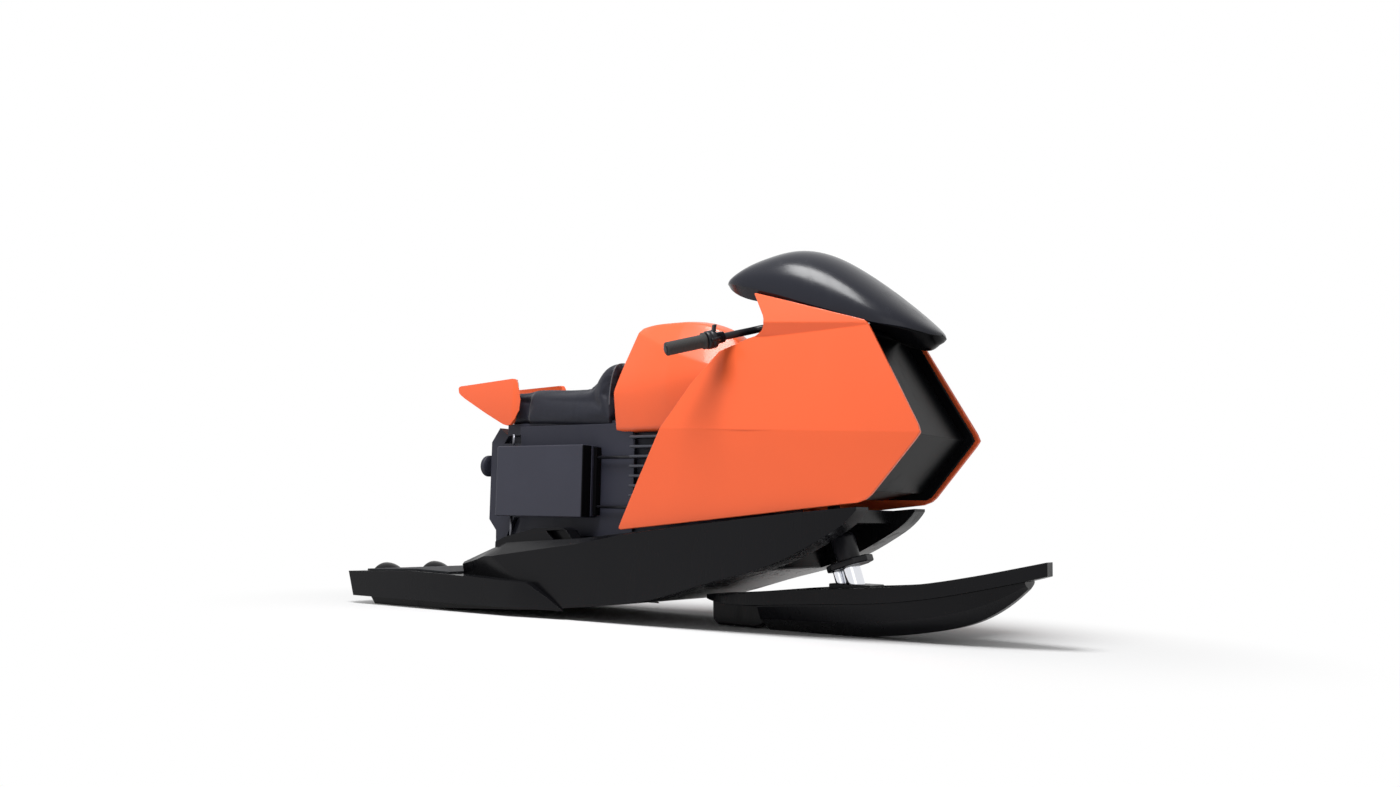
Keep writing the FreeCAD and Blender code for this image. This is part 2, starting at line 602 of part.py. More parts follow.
def tail_wing():
    """Port tail wing: a bent plate that narrows to the tip behind the seat."""
    outline = [(-903.0, 789.0), (-898.0, 764.0), (-868.0, 742.0), (-657.0, 643.0), (-617.0, 631.0),
               (-589.0, 645.0), (-572.0, 689.0), (-584.0, 757.0), (-597.0, 794.0), (-612.0, 800.0)]
    plate = side_prism(outline, 60, 200)
    sections = []
    for x, y in ((TAIL_TIP_X - 10, TAIL_TIP_Y), (-760.0, 133.0), (TAIL_FRONT_X + 40, TAIL_FRONT_Y)):
        sections.append([(x, y - TAIL_T, 600), (x, y - 6, 600), (x, y + 2, 700), (x, y - 10, 820),
                         (x, y - TAIL_T - 12, 820), (x, y - TAIL_T + 2, 700)])
    wing = plate.common(loft(sections))
    inner = SEAT_HALF_W - 10 + SEAT_GAP
    return wing.fuse(box(-640, -598, inner, TAIL_FRONT_Y - TAIL_T + 4, SEAT_BASE_Z[0] + 6, SEAT_BASE_Z[1] - 1))


def tank_cowl():
    rings = []
    for x, yb, ym, zm, ys, zs, yt, zt, zr in TANK_STATIONS:
        rings.append([(x, -yb, TANK_BOTTOM_Z), (x, yb, TANK_BOTTOM_Z), (x, ym, zm), (x, ys, zs),
                      (x, yt, zt), (x, 0, zr), (x, -yt, zt), (x, -ys, zs), (x, -ym, zm)])
    cowl = loft(rings, True)
    behind = [(-300.0, 590.0)] + TANK_REAR_LINE + [(-300.0, 1000.0)]
    return cowl.cut(side_prism(behind, -200, 200))


def fairing_rings(inset):
    """Corners of the fairing's skin per station, moved in by inset."""
    rings = []
    for x, yb, yc, zc, yu, zu, yt in FAIR_STATIONS:
        rings.append([(x, yb - inset, FAIR_BOTTOM_Z), (x, yc - inset, zc), (x, yu - inset, zu),
                      (x, yt - inset, FAIR_TOP_Z)])
    return rings


def fairing_inner_y(x, z):
    """Inner face of the port fairing at a point of the side plane."""
    rings = fairing_rings(PANEL_T)
    line = []
    for k in range(4):
        line.append((interp([(r[k][0], r[k][2]) for r in rings], x),
                     interp([(r[k][0], r[k][1]) for r in rings], x)))
    return interp(line, z)


def fairing():
    """Port fairing: faceted skin of even thickness, trimmed to its side outline."""
    outer = fairing_rings(0)
    inner = fairing_rings(PANEL_T)
    skin = loft([o + i[::-1] for o, i in zip(outer, inner)], True)
    return skin.common(side_prism(FAIR_OUTLINE, 0, 300))


def room_between_fairings(gap):
    rings = []
    for ring in fairing_rings(PANEL_T + gap):
        rings.append(ring + [(x, -y, z) for x, y, z in ring[::-1]])
    return loft(rings, True)


def front_infill():
    """Glossy panel set back between the two fairings."""
    t = INFILL_T
    line = INFILL_LINE
    back = [(line[0][0], line[0][1] + t), (line[1][0] - 4, line[1][1] + t), (line[2][0] - 14, line[2][1]),
            (line[3][0] - 12, line[3][1])]
    panel = side_prism(line + back[::-1], -240, 240)
    return panel.common(room_between_fairings(SEAT_GAP))


def screen_arch(x, w, z_edge, z_top, inset):
    """Corners of the screen's arch at one station, from side to side."""
    half = w - inset
    rise = z_top - z_edge - inset
    ring = []
    for k in range(ARCH_STEPS + 1):
        a = math.pi * k / ARCH_STEPS
        ring.append((x, half * math.cos(a), z_edge + rise * math.sin(a) ** 0.8))
    return ring


def screen():
    """Domed wind screen, open below, its side edges on the fairings' upper edges."""
    outer = loft([screen_arch(*station, 0) for station in SCREEN_STATIONS], True)
    hollow = [(x, w, ze - 2, zt - 2) for x, w, ze, zt in SCREEN_STATIONS[:-2]]
    shell = outer.cut(loft([screen_arch(*station, SCREEN_T) for station in hollow], True))
    rear, front = FAIR_TOP_EDGE
    slope = (front[1] - rear[1]) / (front[0] - rear[0])
    x0, x1 = 200.0, front[0]
    line = [(x, rear[1] + slope * (x - rear[0]) + SEAT_GAP) for x in (x0, x1)]
    return shell.cut(side_prism([(x0, 800.0), (x1, 800.0)] + line[::-1], -200, 200))


# Steering

def steering_head():
    """Raked tube that carries the shaft, with its web to the body core."""
    tube = axis_tube(HEAD_R, 0, *HEAD_Z)
    g = SEAT_GAP
    web = side_prism([(CORE_HEAD_TOP[0] + g, CORE_HEAD_TOP[1] + g), (CORE_HEAD_LOW[0] + g, CORE_HEAD_LOW[1] + g),
                      (axis_x(HEAD_Z[0] + 10), HEAD_Z[0] + 10), (axis_x(720), 720.0)], -14, 14)
    head = tube.fuse(web)
    return head.cut(axis_tube(SHAFT_R + HEAD_RUN_GAP, 0, 480, 900))


def lower_bush():
    """Flanged bush in the bridge deck."""
    return axis_tube(BUSH_R, SHAFT_R + HEAD_RUN_GAP, *BUSH_Z)


def above_plate(shape):
    """Seat a piece that was made upright at the origin on the clamp plate's upper face."""
    moved = shape.copy()
    moved.translate(V(0, 0, CLAMP_T / 2 + SEAT_GAP))
    return on_axis(moved, CLAMP_Z)


def steering_shaft():
    length = axis_span(CLAMP_Z, SHAFT_TOP_Z) - CLAMP_T / 2 - SEAT_GAP
    return above_plate(Part.makeCylinder(SHAFT_R, length))


def column_yoke():
    """Clamp yoke round the shaft above the plate, domed at its top."""
    length = axis_span(CLAMP_Z, YOKE_TOP_Z) - CLAMP_T / 2
    r = SHAFT_R + SEAT_GAP
    dome = length - 16
    yoke = turned([(0, r), (0, YOKE_R), (dome, YOKE_R), (length - 5, YOKE_R - 5), (length, YOKE_R - 13),
                   (length, r)], (0, 0, 0), (0, 0, 1))
    slot = box(-YOKE_R - 5, -r + 4, -2.5, 2.5, 6, length + 5)
    return above_plate(yoke.cut(slot))


def clamp_plate():
    """Six-sided plate under the yoke."""
    half = CLAMP_LEN / 2
    w = CLAMP_W / 2
    plan = [(-half, -w * 0.45), (-half * 0.55, -w), (half * 0.55, -w), (half, -w * 0.45),
            (half, w * 0.45), (half * 0.55, w), (-half * 0.55, w), (-half, w * 0.45)]
    plate = plan_prism(plan, -CLAMP_T / 2, CLAMP_T / 2)
    return on_axis(plate, CLAMP_Z)


def saddle_top():
    return curve_height(SKI_TOP_LINE, SADDLE_X[1]) + SADDLE_RISE


def strut_tubes():
    """Polished tube and the slim one behind it, from the plate down to the ski."""
    drop = axis_span(saddle_top(), CLAMP_Z) + 40
    top = -CLAMP_T / 2 - SEAT_GAP
    main = Part.makeCylinder(STRUT_R, drop, V(0, 0, top - drop))
    rear = Part.makeCylinder(STRUT_REAR_R, drop, V(-STRUT_REAR_BACK, 0, top - drop))
    above = box(400, 1000, -100, 100, saddle_top() + SEAT_GAP, 600)
    return on_axis(main, CLAMP_Z).common(above).fuse(on_axis(rear, CLAMP_Z).common(above))


def handlebar():
    """Swept bar: straight clamp section and two swept arms."""
    end = V(*BAR_END)
    inner = V(*BAR_INNER)
    mid = V(*BAR_CENTRE)
    bend = V(mid.x, BAR_CLAMP_HALF - 12, mid.z)
    direction = (end - inner).normalize()
    run = Part.makeCylinder(BAR_TUBE_R, (end - bend).Length - 2, bend, end - bend)
    centre = Part.makeCylinder(BAR_TUBE_R, 2 * bend.y, V(mid.x, -bend.y, mid.z), V(0, 1, 0))
    ball = Part.makeSphere(BAR_TUBE_R, bend)
    arm = run.fuse(ball)
    return centre.fuse(arm).fuse(mirror(arm))


def arm_point(distance):
    """Point on the port arm, measured inward from its end."""
    end = V(*BAR_END)
    bend = V(BAR_CENTRE[0], BAR_CLAMP_HALF - 12, BAR_CENTRE[2])
    return end + (bend - end).normalize() * distance


def arm_piece(profile, start):
    """Turned piece round the port arm, profile measured inward from start."""
    a = arm_point(start)
    d = arm_point(start + 1) - a
    return turned(profile, tuple(a), tuple(d))


def grip():
    r = BAR_TUBE_R + SEAT_GAP
    profile = [(0, r), (0, GRIP_R), (GRIP_LEN - 8, GRIP_R - 1), (GRIP_LEN - 8, GRIP_R + 5),
               (GRIP_LEN, GRIP_R + 5), (GRIP_LEN, r)]
    return arm_piece(profile, 2)


def control():
    """Switch housing, lever perch and lever on the port arm."""
    r = BAR_TUBE_R + SEAT_GAP
    start = GRIP_LEN + 4
    housing = arm_piece([(0, r), (0, 21), (30, 21), (30, r)], start)
    perch = arm_piece([(30, r), (30, 16), (CONTROL_LEN, 16), (CONTROL_LEN, r)], start)
    d = (arm_point(10) - arm_point(0)).normalize()
    forward = V(0, 0, 1).cross(d)
    if forward.x < 0:
        forward = forward * -1
    forward.normalize()
    outline = [(56, 14), (40, 14), (26, 42), (26 - LEVER_LEN, 56), (26 - LEVER_LEN, 68), (34, 56)]
    ring = [arm_point(start + t) + forward * f - V(0, 0, 4) for t, f in outline]
    lever = Part.Face(Part.makePolygon(ring + ring[:1])).extrude(V(0, 0, 8))
    return housing.fuse([perch, lever])


def bar_clamp():
    """Clamp block on the shaft's top that holds the bar."""
    mid = V(*BAR_CENTRE)
    block = box(-26, 38, -30, 30, -24, 26)
    block = on_axis(block, SHAFT_TOP_Z + 5)
    bore = Part.makeCylinder(BAR_TUBE_R + 0.1, 80, V(mid.x, -40, mid.z), V(0, 1, 0))
    return block.cut(bore).cut(axis_tube(SHAFT_R + 0.1, 0, 700, SHAFT_TOP_Z + 0.3))


def ski_width(x):
    return interp(SKI_PLAN, x)


def rim_line():
    """Lower edge of the deck plank's rim."""
    return [(x, z - h) for (x, z), (_, h) in zip(SKI_TOP_LINE, SKI_RIM_H)]


def curve_height(points, x):
    """Height of the smooth curve through the points at x."""
    curve = Part.BSplineCurve()
    curve.interpolate([V(px, 0, pz) for px, pz in points])
    cut = curve.intersectCC(Part.LineSegment(V(x, 0, -500), V(x, 0, 1500)))
    return cut[0].Z


def between_curves(low, high, half_w):
    """Side region between two smooth curves, carried across."""
    a = [V(x, -half_w, z) for x, z in low]
    b = [V(x, -half_w, z) for x, z in high]
    edges = [spline(a), Part.makeLine(a[-1], b[-1]), spline(b), Part.makeLine(b[0], a[0])]
    return Part.Face(Part.Wire(Part.__sortEdges__(edges))).extrude(V(0, 2 * half_w, 0))


def plan_region(points, inset, z0, z1):
    """Symmetric plan outline with smooth sides, carried up."""
    left = [V(x, w - inset, z0) for x, w in points]
    right = [V(x, -(w - inset), z0) for x, w in points]
    edges = [spline(left), Part.makeLine(left[-1], right[-1]), spline(right), Part.makeLine(right[0], left[0])]
    return Part.Face(Part.Wire(Part.__sortEdges__(edges))).extrude(V(0, 0, z1 - z0))


def ski_deck():
    """Deck plank with a rim band and two raised rails along its edges."""
    plank = plan_region(SKI_PLAN, 0, 0, 300).common(between_curves(rim_line(), SKI_TOP_LINE, 200))
    floor = [(x, z - SKI_RAIL_H) for x, z in SKI_TOP_LINE]
    above = [(x, z + 40) for x, z in SKI_TOP_LINE]
    plan = [p for p in SKI_PLAN if SKI_CHANNEL_X[0] <= p[0] <= SKI_CHANNEL_X[1]]
    channel = plan_region(plan, SKI_RAIL_W, 0, 300).common(between_curves(floor, above, 200))
    return plank.cut(channel)


def ski_hull():
    """Boat-shaped blade under the deck plank."""
    rings = []
    for x in [p[0] for p in SKI_KEEL_LINE]:
        w = max(ski_width(x) - 8, 8)
        top = interp(SKI_TOP_LINE, x)
        keel = interp(SKI_KEEL_LINE, x)
        side = interp(rim_line(), x)
        mid = keel + (side - keel) * 0.45
        flat = w * 0.28
        rings.append([(x, -flat, keel), (x, flat, keel), (x, w * 0.82, mid), (x, w, side - 6), (x, w, top),
                      (x, -w, top), (x, -w, side - 6), (x, -w * 0.82, mid)])
    blade = loft(rings)
    below = between_curves([(x, -30) for x, _ in SKI_TOP_LINE], [(x, z - SEAT_GAP) for x, z in rim_line()], 200)
    return blade.common(below).common(box(0, 1300, -200, 200, 0, 400))


def ski_fin():
    """Broad skeg under the ski's rear half."""
    fin = side_prism(FIN_OUTLINE, -FIN_HALF_W, FIN_HALF_W)
    below = between_curves([(x, -30) for x, _ in SKI_TOP_LINE], [(x, z - SEAT_GAP) for x, z in rim_line()], 200)
    return fin.common(below)


def ski_saddle():
    """Block that carries the strut in the deck's channel."""
    block = box(SADDLE_X[0], SADDLE_X[1], -SADDLE_HALF_W, SADDLE_HALF_W,
                curve_height(SKI_TOP_LINE, SADDLE_X[0]) - 30, saddle_top())
    deck = ski_deck()
    deck.translate(V(0, 0, SEAT_GAP))
    floor = [(x, z - SKI_RAIL_H) for x, z in SKI_TOP_LINE]
    above = [(x, z + 60) for x, z in SKI_TOP_LINE]
    return block.common(between_curves(floor, above, 200)).cut(deck)


hull = hull_solid()
save("hull", hull)
save("rear_platform", platform_solid())
save("traction_mat", mat_solid())
save("drive_motors", box(MOTOR_X[0], MOTOR_X[1], -MOTOR_HALF_W, MOTOR_HALF_W, MOTOR_Z[0], MOTOR_Z[1]))
save("intake_grates", intake_grate())
save("body_core", core_solid())
save("charge_cap", port_cap())
save("seat_base", seat_base())
save("seat_pad", seat_pad())
save("tank_cowl", tank_cowl())
save("front_infill", front_infill())
save("screen", screen())
save("steering_head", steering_head())
save("lower_bush", lower_bush())
save("steering_shaft", steering_shaft())
save("column_yoke", column_yoke())
save("clamp_plate", clamp_plate())
save("strut_tubes", strut_tubes())
save("handlebar", handlebar())
save("bar_clamp", bar_clamp())
save("ski_deck", ski_deck())
save("ski_hull", ski_hull())
save("ski_fin", ski_fin())
save("ski_saddle", ski_saddle())
for node, shape in (("pump_housing", pump_housing()), ("impeller", impeller()), ("foot_guard", foot_guard()),
                    ("battery_case", battery_case()), ("side_rails", side_rails()),
                    ("cooling_fins", cooling_fins()), ("tail_wing", tail_wing()), ("fairing", fairing()),
                    ("grip", grip()), ("control", control())):
    save(node + "_left", shape)
    save(node + "_right", mirror(shape))
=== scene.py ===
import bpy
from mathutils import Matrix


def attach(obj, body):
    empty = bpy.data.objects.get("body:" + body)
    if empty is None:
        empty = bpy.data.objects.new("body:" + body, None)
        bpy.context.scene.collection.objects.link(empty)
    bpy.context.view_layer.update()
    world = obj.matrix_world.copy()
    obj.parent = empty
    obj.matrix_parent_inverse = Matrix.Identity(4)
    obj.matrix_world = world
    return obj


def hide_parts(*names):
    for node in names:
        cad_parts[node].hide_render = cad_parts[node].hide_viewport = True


bl_info = {
    "name": "Straddle Watercraft Dressing",
    "version": (1, 0, 0),
    "blender": (4, 5, 0),
    "location": "3D View > Sidebar > Watercraft",
    "description": "Dresses the packed straddle watercraft with its panels, finishes and studio",
    "category": "Object",
}

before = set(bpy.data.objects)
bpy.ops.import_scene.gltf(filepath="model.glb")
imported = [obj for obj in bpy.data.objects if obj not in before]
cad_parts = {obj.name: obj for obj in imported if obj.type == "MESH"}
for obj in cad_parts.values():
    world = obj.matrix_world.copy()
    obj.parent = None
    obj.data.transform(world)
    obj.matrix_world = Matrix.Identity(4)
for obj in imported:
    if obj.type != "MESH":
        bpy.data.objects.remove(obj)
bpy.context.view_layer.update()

import math

import bmesh
import bpy
import numpy as np
from bpy.props import FloatProperty, FloatVectorProperty, IntProperty, PointerProperty
from bpy.types import Operator, Panel, PropertyGroup
from mathutils import Matrix, Vector

MM = 0.001
SIDES = (("left", 1.0), ("right", -1.0))


# Values a user would change

class PaintValues(PropertyGroup):
    """Colours and finishes of the craft."""

    orange: FloatVectorProperty(
        name="Orange", description="Paint of the fairings, tank cowl and tail wings",
        subtype="COLOR", size=3, min=0.0, max=1.0, default=(0.860, 0.125, 0.036))
    hull_black: FloatVectorProperty(
        name="Hull black", description="Gloss black of the hull, stern tray and ski",
        subtype="COLOR", size=3, min=0.0, max=1.0, default=(0.0050, 0.0050, 0.0062))
    body_grey: FloatVectorProperty(
        name="Body grey", description="Dark grey of the body and its side cases",
        subtype="COLOR", size=3, min=0.0, max=1.0, default=(0.027, 0.028, 0.042))
    seat_black: FloatVectorProperty(
        name="Seat cover", description="Soft cover of the seat",
        subtype="COLOR", size=3, min=0.0, max=1.0, default=(0.011, 0.012, 0.020))
    gloss: FloatProperty(
        name="Paint roughness", description="Roughness of the gloss panels",
        subtype="FACTOR", min=0.02, max=0.8, default=0.24)


class PanelValues(PropertyGroup):
    """Sizes of the painted panels."""

    thickness: FloatProperty(
        name="Panel thickness", description="Thickness of the fairings' skin",
        subtype="DISTANCE", unit="LENGTH", min=0.004, max=0.02, default=0.012)
    rim: FloatProperty(
        name="Rim radius", description="Rounding of the panels' free edges",
        subtype="DISTANCE", unit="LENGTH", min=0.001, max=0.006, default=0.0045)
    screen_skin: FloatProperty(
        name="Screen skin", description="Thickness of the domed screen",
        subtype="DISTANCE", unit="LENGTH", min=0.003, max=0.01, default=0.006)


class SoftValues(PropertyGroup):
    """Padding of the seat and ribs of the grips."""

    seat_inset: FloatProperty(
        name="Seat inset", description="How much smaller the pad starts before it is filled",
        subtype="DISTANCE", unit="LENGTH", min=0.0, max=0.02, default=0.006)
    seat_swell: FloatProperty(
        name="Seat swell", description="Farthest that the cover may bulge out",
        subtype="DISTANCE", unit="LENGTH", min=0.0, max=0.03, default=0.009)
    grip_ribs: IntProperty(
        name="Grip ribs", description="Number of ribs round each grip",
        min=8, max=60, default=26)


class StudioValues(PropertyGroup):
    """Light of the studio."""

    key: FloatProperty(
        name="Key light", description="Power of the large lamp overhead",
        subtype="POWER", unit="POWER", min=0.0, max=2000.0, default=185.0)
    fill: FloatProperty(
        name="Fill light", description="Power of the lamp on the near side",
        subtype="POWER", unit="POWER", min=0.0, max=2000.0, default=9.0)
    world: FloatProperty(
        name="World light", description="Strength of the world on matt surfaces",
        min=0.0, max=2.0, default=0.17)


# Meshes from arrays

def mesh_object(name, points, faces, smooth=True):
    """Object at the origin whose mesh has these points in millimetres and these faces."""
    mesh = bpy.data.meshes.new(name)
    coords = np.asarray(points, float).reshape(-1, 3) * MM
    mesh.from_pydata(coords.tolist(), [], [list(map(int, f)) for f in faces])
    mesh.validate()
    mesh.polygons.foreach_set("use_smooth", np.full(len(mesh.polygons), smooth))
    mesh.update()
    piece = bpy.data.objects.new(name, mesh)
    bpy.context.scene.collection.objects.link(piece)
    return piece


def grid_faces(rows, cols, wrap=False):
    """Quads of a grid of points, row by row; with wrap each row closes on itself."""
    r = np.arange(rows - 1)[:, None]
    c = np.arange(cols if wrap else cols - 1)[None, :]
    n = (c + 1) % cols
    quads = np.stack([r * cols + c, r * cols + n, (r + 1) * cols + n, (r + 1) * cols + c], axis=-1)
    return quads.reshape(-1, 4)


def weld(piece, gap=0.00005, outward=True):
    """Merges points closer than the gap and turns the faces outwards."""
    bm = bmesh.new()
    bm.from_mesh(piece.data)
    bmesh.ops.remove_doubles(bm, verts=bm.verts, dist=gap)
    bmesh.ops.dissolve_degenerate(bm, edges=bm.edges, dist=gap * 0.2)
    if outward:
        bmesh.ops.recalc_face_normals(bm, faces=bm.faces)
    bm.to_mesh(piece.data)
    bm.free()
    piece.data.polygons.foreach_set("use_smooth", np.ones(len(piece.data.polygons), bool))
    return piece


def chain(corners, count):
    """Points along straight runs: each run gets a share of the count by its length, corners kept."""
    pts = np.asarray(corners, float)
    runs = np.linalg.norm(np.diff(pts, axis=0), axis=1)
    marks = np.concatenate([[0.0], np.cumsum(runs)]) / runs.sum()
    steps = np.round(marks * (count - 1)).astype(int)
    steps = np.maximum.accumulate(np.maximum(steps, np.arange(len(steps))))
    steps[-1] = count - 1
    for i in range(len(steps) - 2, 0, -1):
        steps[i] = min(steps[i], steps[i + 1] - 1)
    place = np.interp(np.arange(count), steps, marks)
    return np.stack([np.interp(place, marks, pts[:, k]) for k in range(pts.shape[1])], axis=1)


def smooth_curve(knots, places):
    """Natural cubic through (place, value...) knots, worked out for every place at once."""
    table = np.asarray(knots, float)
    t, v = table[:, 0], table[:, 1:]
    n = len(t)
    h = np.diff(t)
    a = np.zeros((n, n))
    b = np.zeros((n, v.shape[1]))
    a[0, 0] = a[-1, -1] = 1.0
    i = np.arange(1, n - 1)
    a[i, i - 1], a[i, i], a[i, i + 1] = h[:-1], 2 * (h[:-1] + h[1:]), h[1:]
    slope = np.diff(v, axis=0) / h[:, None]
    b[1:-1] = 6 * np.diff(slope, axis=0)
    m = np.linalg.solve(a, b)
    p = np.clip(np.asarray(places, float), t[0], t[-1])
    k = np.clip(np.searchsorted(t, p) - 1, 0, n - 2)
    d = h[k][:, None]
    left, right = (t[k + 1] - p)[:, None], (p - t[k])[:, None]
    return (m[k] * left ** 3 + m[k + 1] * right ** 3) / (6 * d) + \
        (v[k] / d - m[k] * d / 6) * left + (v[k + 1] / d - m[k + 1] * d / 6) * right


def coons(bottom, right, top, left):
    """Patch between four edges: the sum of the two straight blends, less the blend of the corners."""
    u = np.linspace(0, 1, len(bottom))[None, :, None]
    v = np.linspace(0, 1, len(left))[:, None, None]
    across = (1 - v) * bottom[None] + v * top[None]
    along = (1 - u) * left[:, None] + u * right[:, None]
    corners = (1 - u) * (1 - v) * bottom[0] + u * (1 - v) * bottom[-1] + \
        (1 - u) * v * top[0] + u * v * top[-1]
    return across + along - corners


def sweep(name, path, radius, sides=20, squash=1.0):
    """Closed tube along a path, its rings square to the path; squash flattens them sideways."""
    p = np.asarray(path, float)
    r = np.broadcast_to(np.asarray(radius, float), (len(p),))
    tangent = np.gradient(p, axis=0)
    tangent /= np.linalg.norm(tangent, axis=1)[:, None]
    spread = np.abs(tangent).mean(axis=0)
    up = np.eye(3)[int(np.argmin(spread))]
    side = np.cross(tangent, up)
    side /= np.linalg.norm(side, axis=1)[:, None]
    over = np.cross(side, tangent)
    a = np.linspace(0, 2 * np.pi, sides, endpoint=False)
    ring = np.cos(a)[None, :, None] * side[:, None] * squash + np.sin(a)[None, :, None] * over[:, None]
    pts = p[:, None] + ring * r[:, None, None]
    faces = [list(q) for q in grid_faces(len(p), sides, wrap=True)]
    faces += [list(range(sides))[::-1], list(range((len(p) - 1) * sides, len(p) * sides))]
    return weld(mesh_object(name, pts, faces))


def lathe(name, profile, centre, axis, sides=48):
    """Surface of revolution with closed ends: (distance, radius) pairs turned about an axis."""
    prof = np.asarray(profile, float)
    n = Vector(axis).normalized()
    side = n.orthogonal().normalized()
    over = n.cross(side)
    a = np.linspace(0, 2 * np.pi, sides, endpoint=False)
    ring = np.cos(a)[:, None] * np.array(side) + np.sin(a)[:, None] * np.array(over)
    along, radius = prof[:, 0][:, None, None], prof[:, 1][:, None, None]
    pts = np.asarray(centre, float) + along * np.array(n) + radius * ring
    faces = [list(q) for q in grid_faces(len(prof), sides, wrap=True)]
    faces += [list(range(sides))[::-1], list(range((len(prof) - 1) * sides, len(prof) * sides))]
    return weld(mesh_object(name, pts, faces))


def add_modifier(piece, kind, **values):
    """Adds a modifier and sets its values."""
    mod = piece.modifiers.new(kind.title(), kind)
    for key, value in values.items():
        setattr(mod, key, value)
    return mod


def bevel(piece, width, segments=3, angle=35.0):
    """Rounds the edges sharper than the angle, then evens the normals of the flats."""
    add_modifier(piece, "BEVEL", width=width, segments=segments, limit_method="ANGLE",
                 angle_limit=math.radians(angle), miter_outer="MITER_ARC", harden_normals=False)
    add_modifier(piece, "WEIGHTED_NORMAL", keep_sharp=False, weight=80)
    return piece


def settle(piece):
    """Applies every modifier, so that the mesh is final."""
    graph = bpy.context.evaluated_depsgraph_get()
    final = bpy.data.meshes.new_from_object(piece.evaluated_get(graph))
    piece.modifiers.clear()
    piece.data = final
    return piece


def dressed_copy(node, name, width, segments=3, angle=25.0, cutters=()):
    """Copy of a solid with its loose triangles merged, cutters taken out and edges rounded."""
    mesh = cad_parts[node].data.copy()
    piece = bpy.data.objects.new(name, mesh)
    bpy.context.scene.collection.objects.link(piece)
    bm = bmesh.new()
    bm.from_mesh(mesh)
    bmesh.ops.remove_doubles(bm, verts=bm.verts, dist=0.00002)
    bmesh.ops.dissolve_limit(bm, angle_limit=math.radians(0.8), verts=bm.verts, edges=bm.edges)
    bm.to_mesh(mesh)
    bm.free()
    mesh.materials.clear()
    for cutter in cutters:
        add_modifier(piece, "BOOLEAN", operation="DIFFERENCE", solver="EXACT", object=cutter)
    if cutters:
        settle(piece)
        for cutter in cutters:
            bpy.data.objects.remove(cutter)
        weld(piece, 0.00002, outward=False)
    piece.data.polygons.foreach_set("use_smooth", np.ones(len(piece.data.polygons), bool))
    return bevel(piece, width, segments, angle)


def place(piece, body, slot, material, *nodes):
    """Gives a piece its finish and its body, and hides the solids that it stands for."""
    piece.data.materials.clear()
    piece.data.materials.append(material)
    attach(piece, body)
    if nodes:
        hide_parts(*nodes)
    return piece


def paint_node(node, material):
    """Gives a solid that stays in view its finish."""
    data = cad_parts[node].data
    data.materials.clear()
    data.materials.append(material)


# Shared shader effects

def node_group(name, inputs, outputs):
    """Empty shader group with named sockets, its input and output nodes included."""
    group = bpy.data.node_groups.new(name, "ShaderNodeTree")
    for label, kind, default in inputs:
        socket = group.interface.new_socket(label, in_out="INPUT", socket_type=kind)
        if default is not None:
            socket.default_value = default
    for label, kind in outputs:
        group.interface.new_socket(label, in_out="OUTPUT", socket_type=kind)
    return group, group.nodes.new("NodeGroupInput"), group.nodes.new("NodeGroupOutput")


def add_node(tree, kind, **values):
    """New node with its plain properties and its named or numbered inputs set."""
    node = tree.nodes.new(kind)
    for key, value in values.items():
        if key.startswith("in_"):
            label = key[3:].replace("_", " ")
            found = node.inputs[int(label)] if label.isdigit() else node.inputs[label]
            found.default_value = value
        else:
            setattr(node, key, value)
    return node


def join(tree, *links):
    """Links sockets; each entry names a node, its output, the next node and its input."""
    for start, output, end, entry in links:
        tree.links.new(start.outputs[output], end.inputs[entry])


def make_grain_group():
    """Fine grain: two noises on the object's own coordinates, mixed to a height and a mask."""
    group, gin, gout = node_group(
        "Fine Grain",
        [("Scale", "NodeSocketFloat", 400.0), ("Coarse", "NodeSocketFloat", 60.0),
         ("Mix", "NodeSocketFloat", 0.35)],
        [("Height", "NodeSocketFloat"), ("Mask", "NodeSocketFloat")])
    coord = add_node(group, "ShaderNodeTexCoord")
    fine = add_node(group, "ShaderNodeTexNoise", in_Detail=3.0, in_Roughness=0.6)
    coarse = add_node(group, "ShaderNodeTexNoise", in_Detail=2.0)
    mix = add_node(group, "ShaderNodeMix", data_type="FLOAT")
    join(group, (coord, "Object", fine, "Vector"), (coord, "Object", coarse, "Vector"),
         (gin, "Scale", fine, "Scale"), (gin, "Coarse", coarse, "Scale"), (gin, "Mix", mix, 0),
         (fine, 0, mix, 2), (coarse, 0, mix, 3), (mix, 0, gout, "Height"), (coarse, 0, gout, "Mask"))
    return group


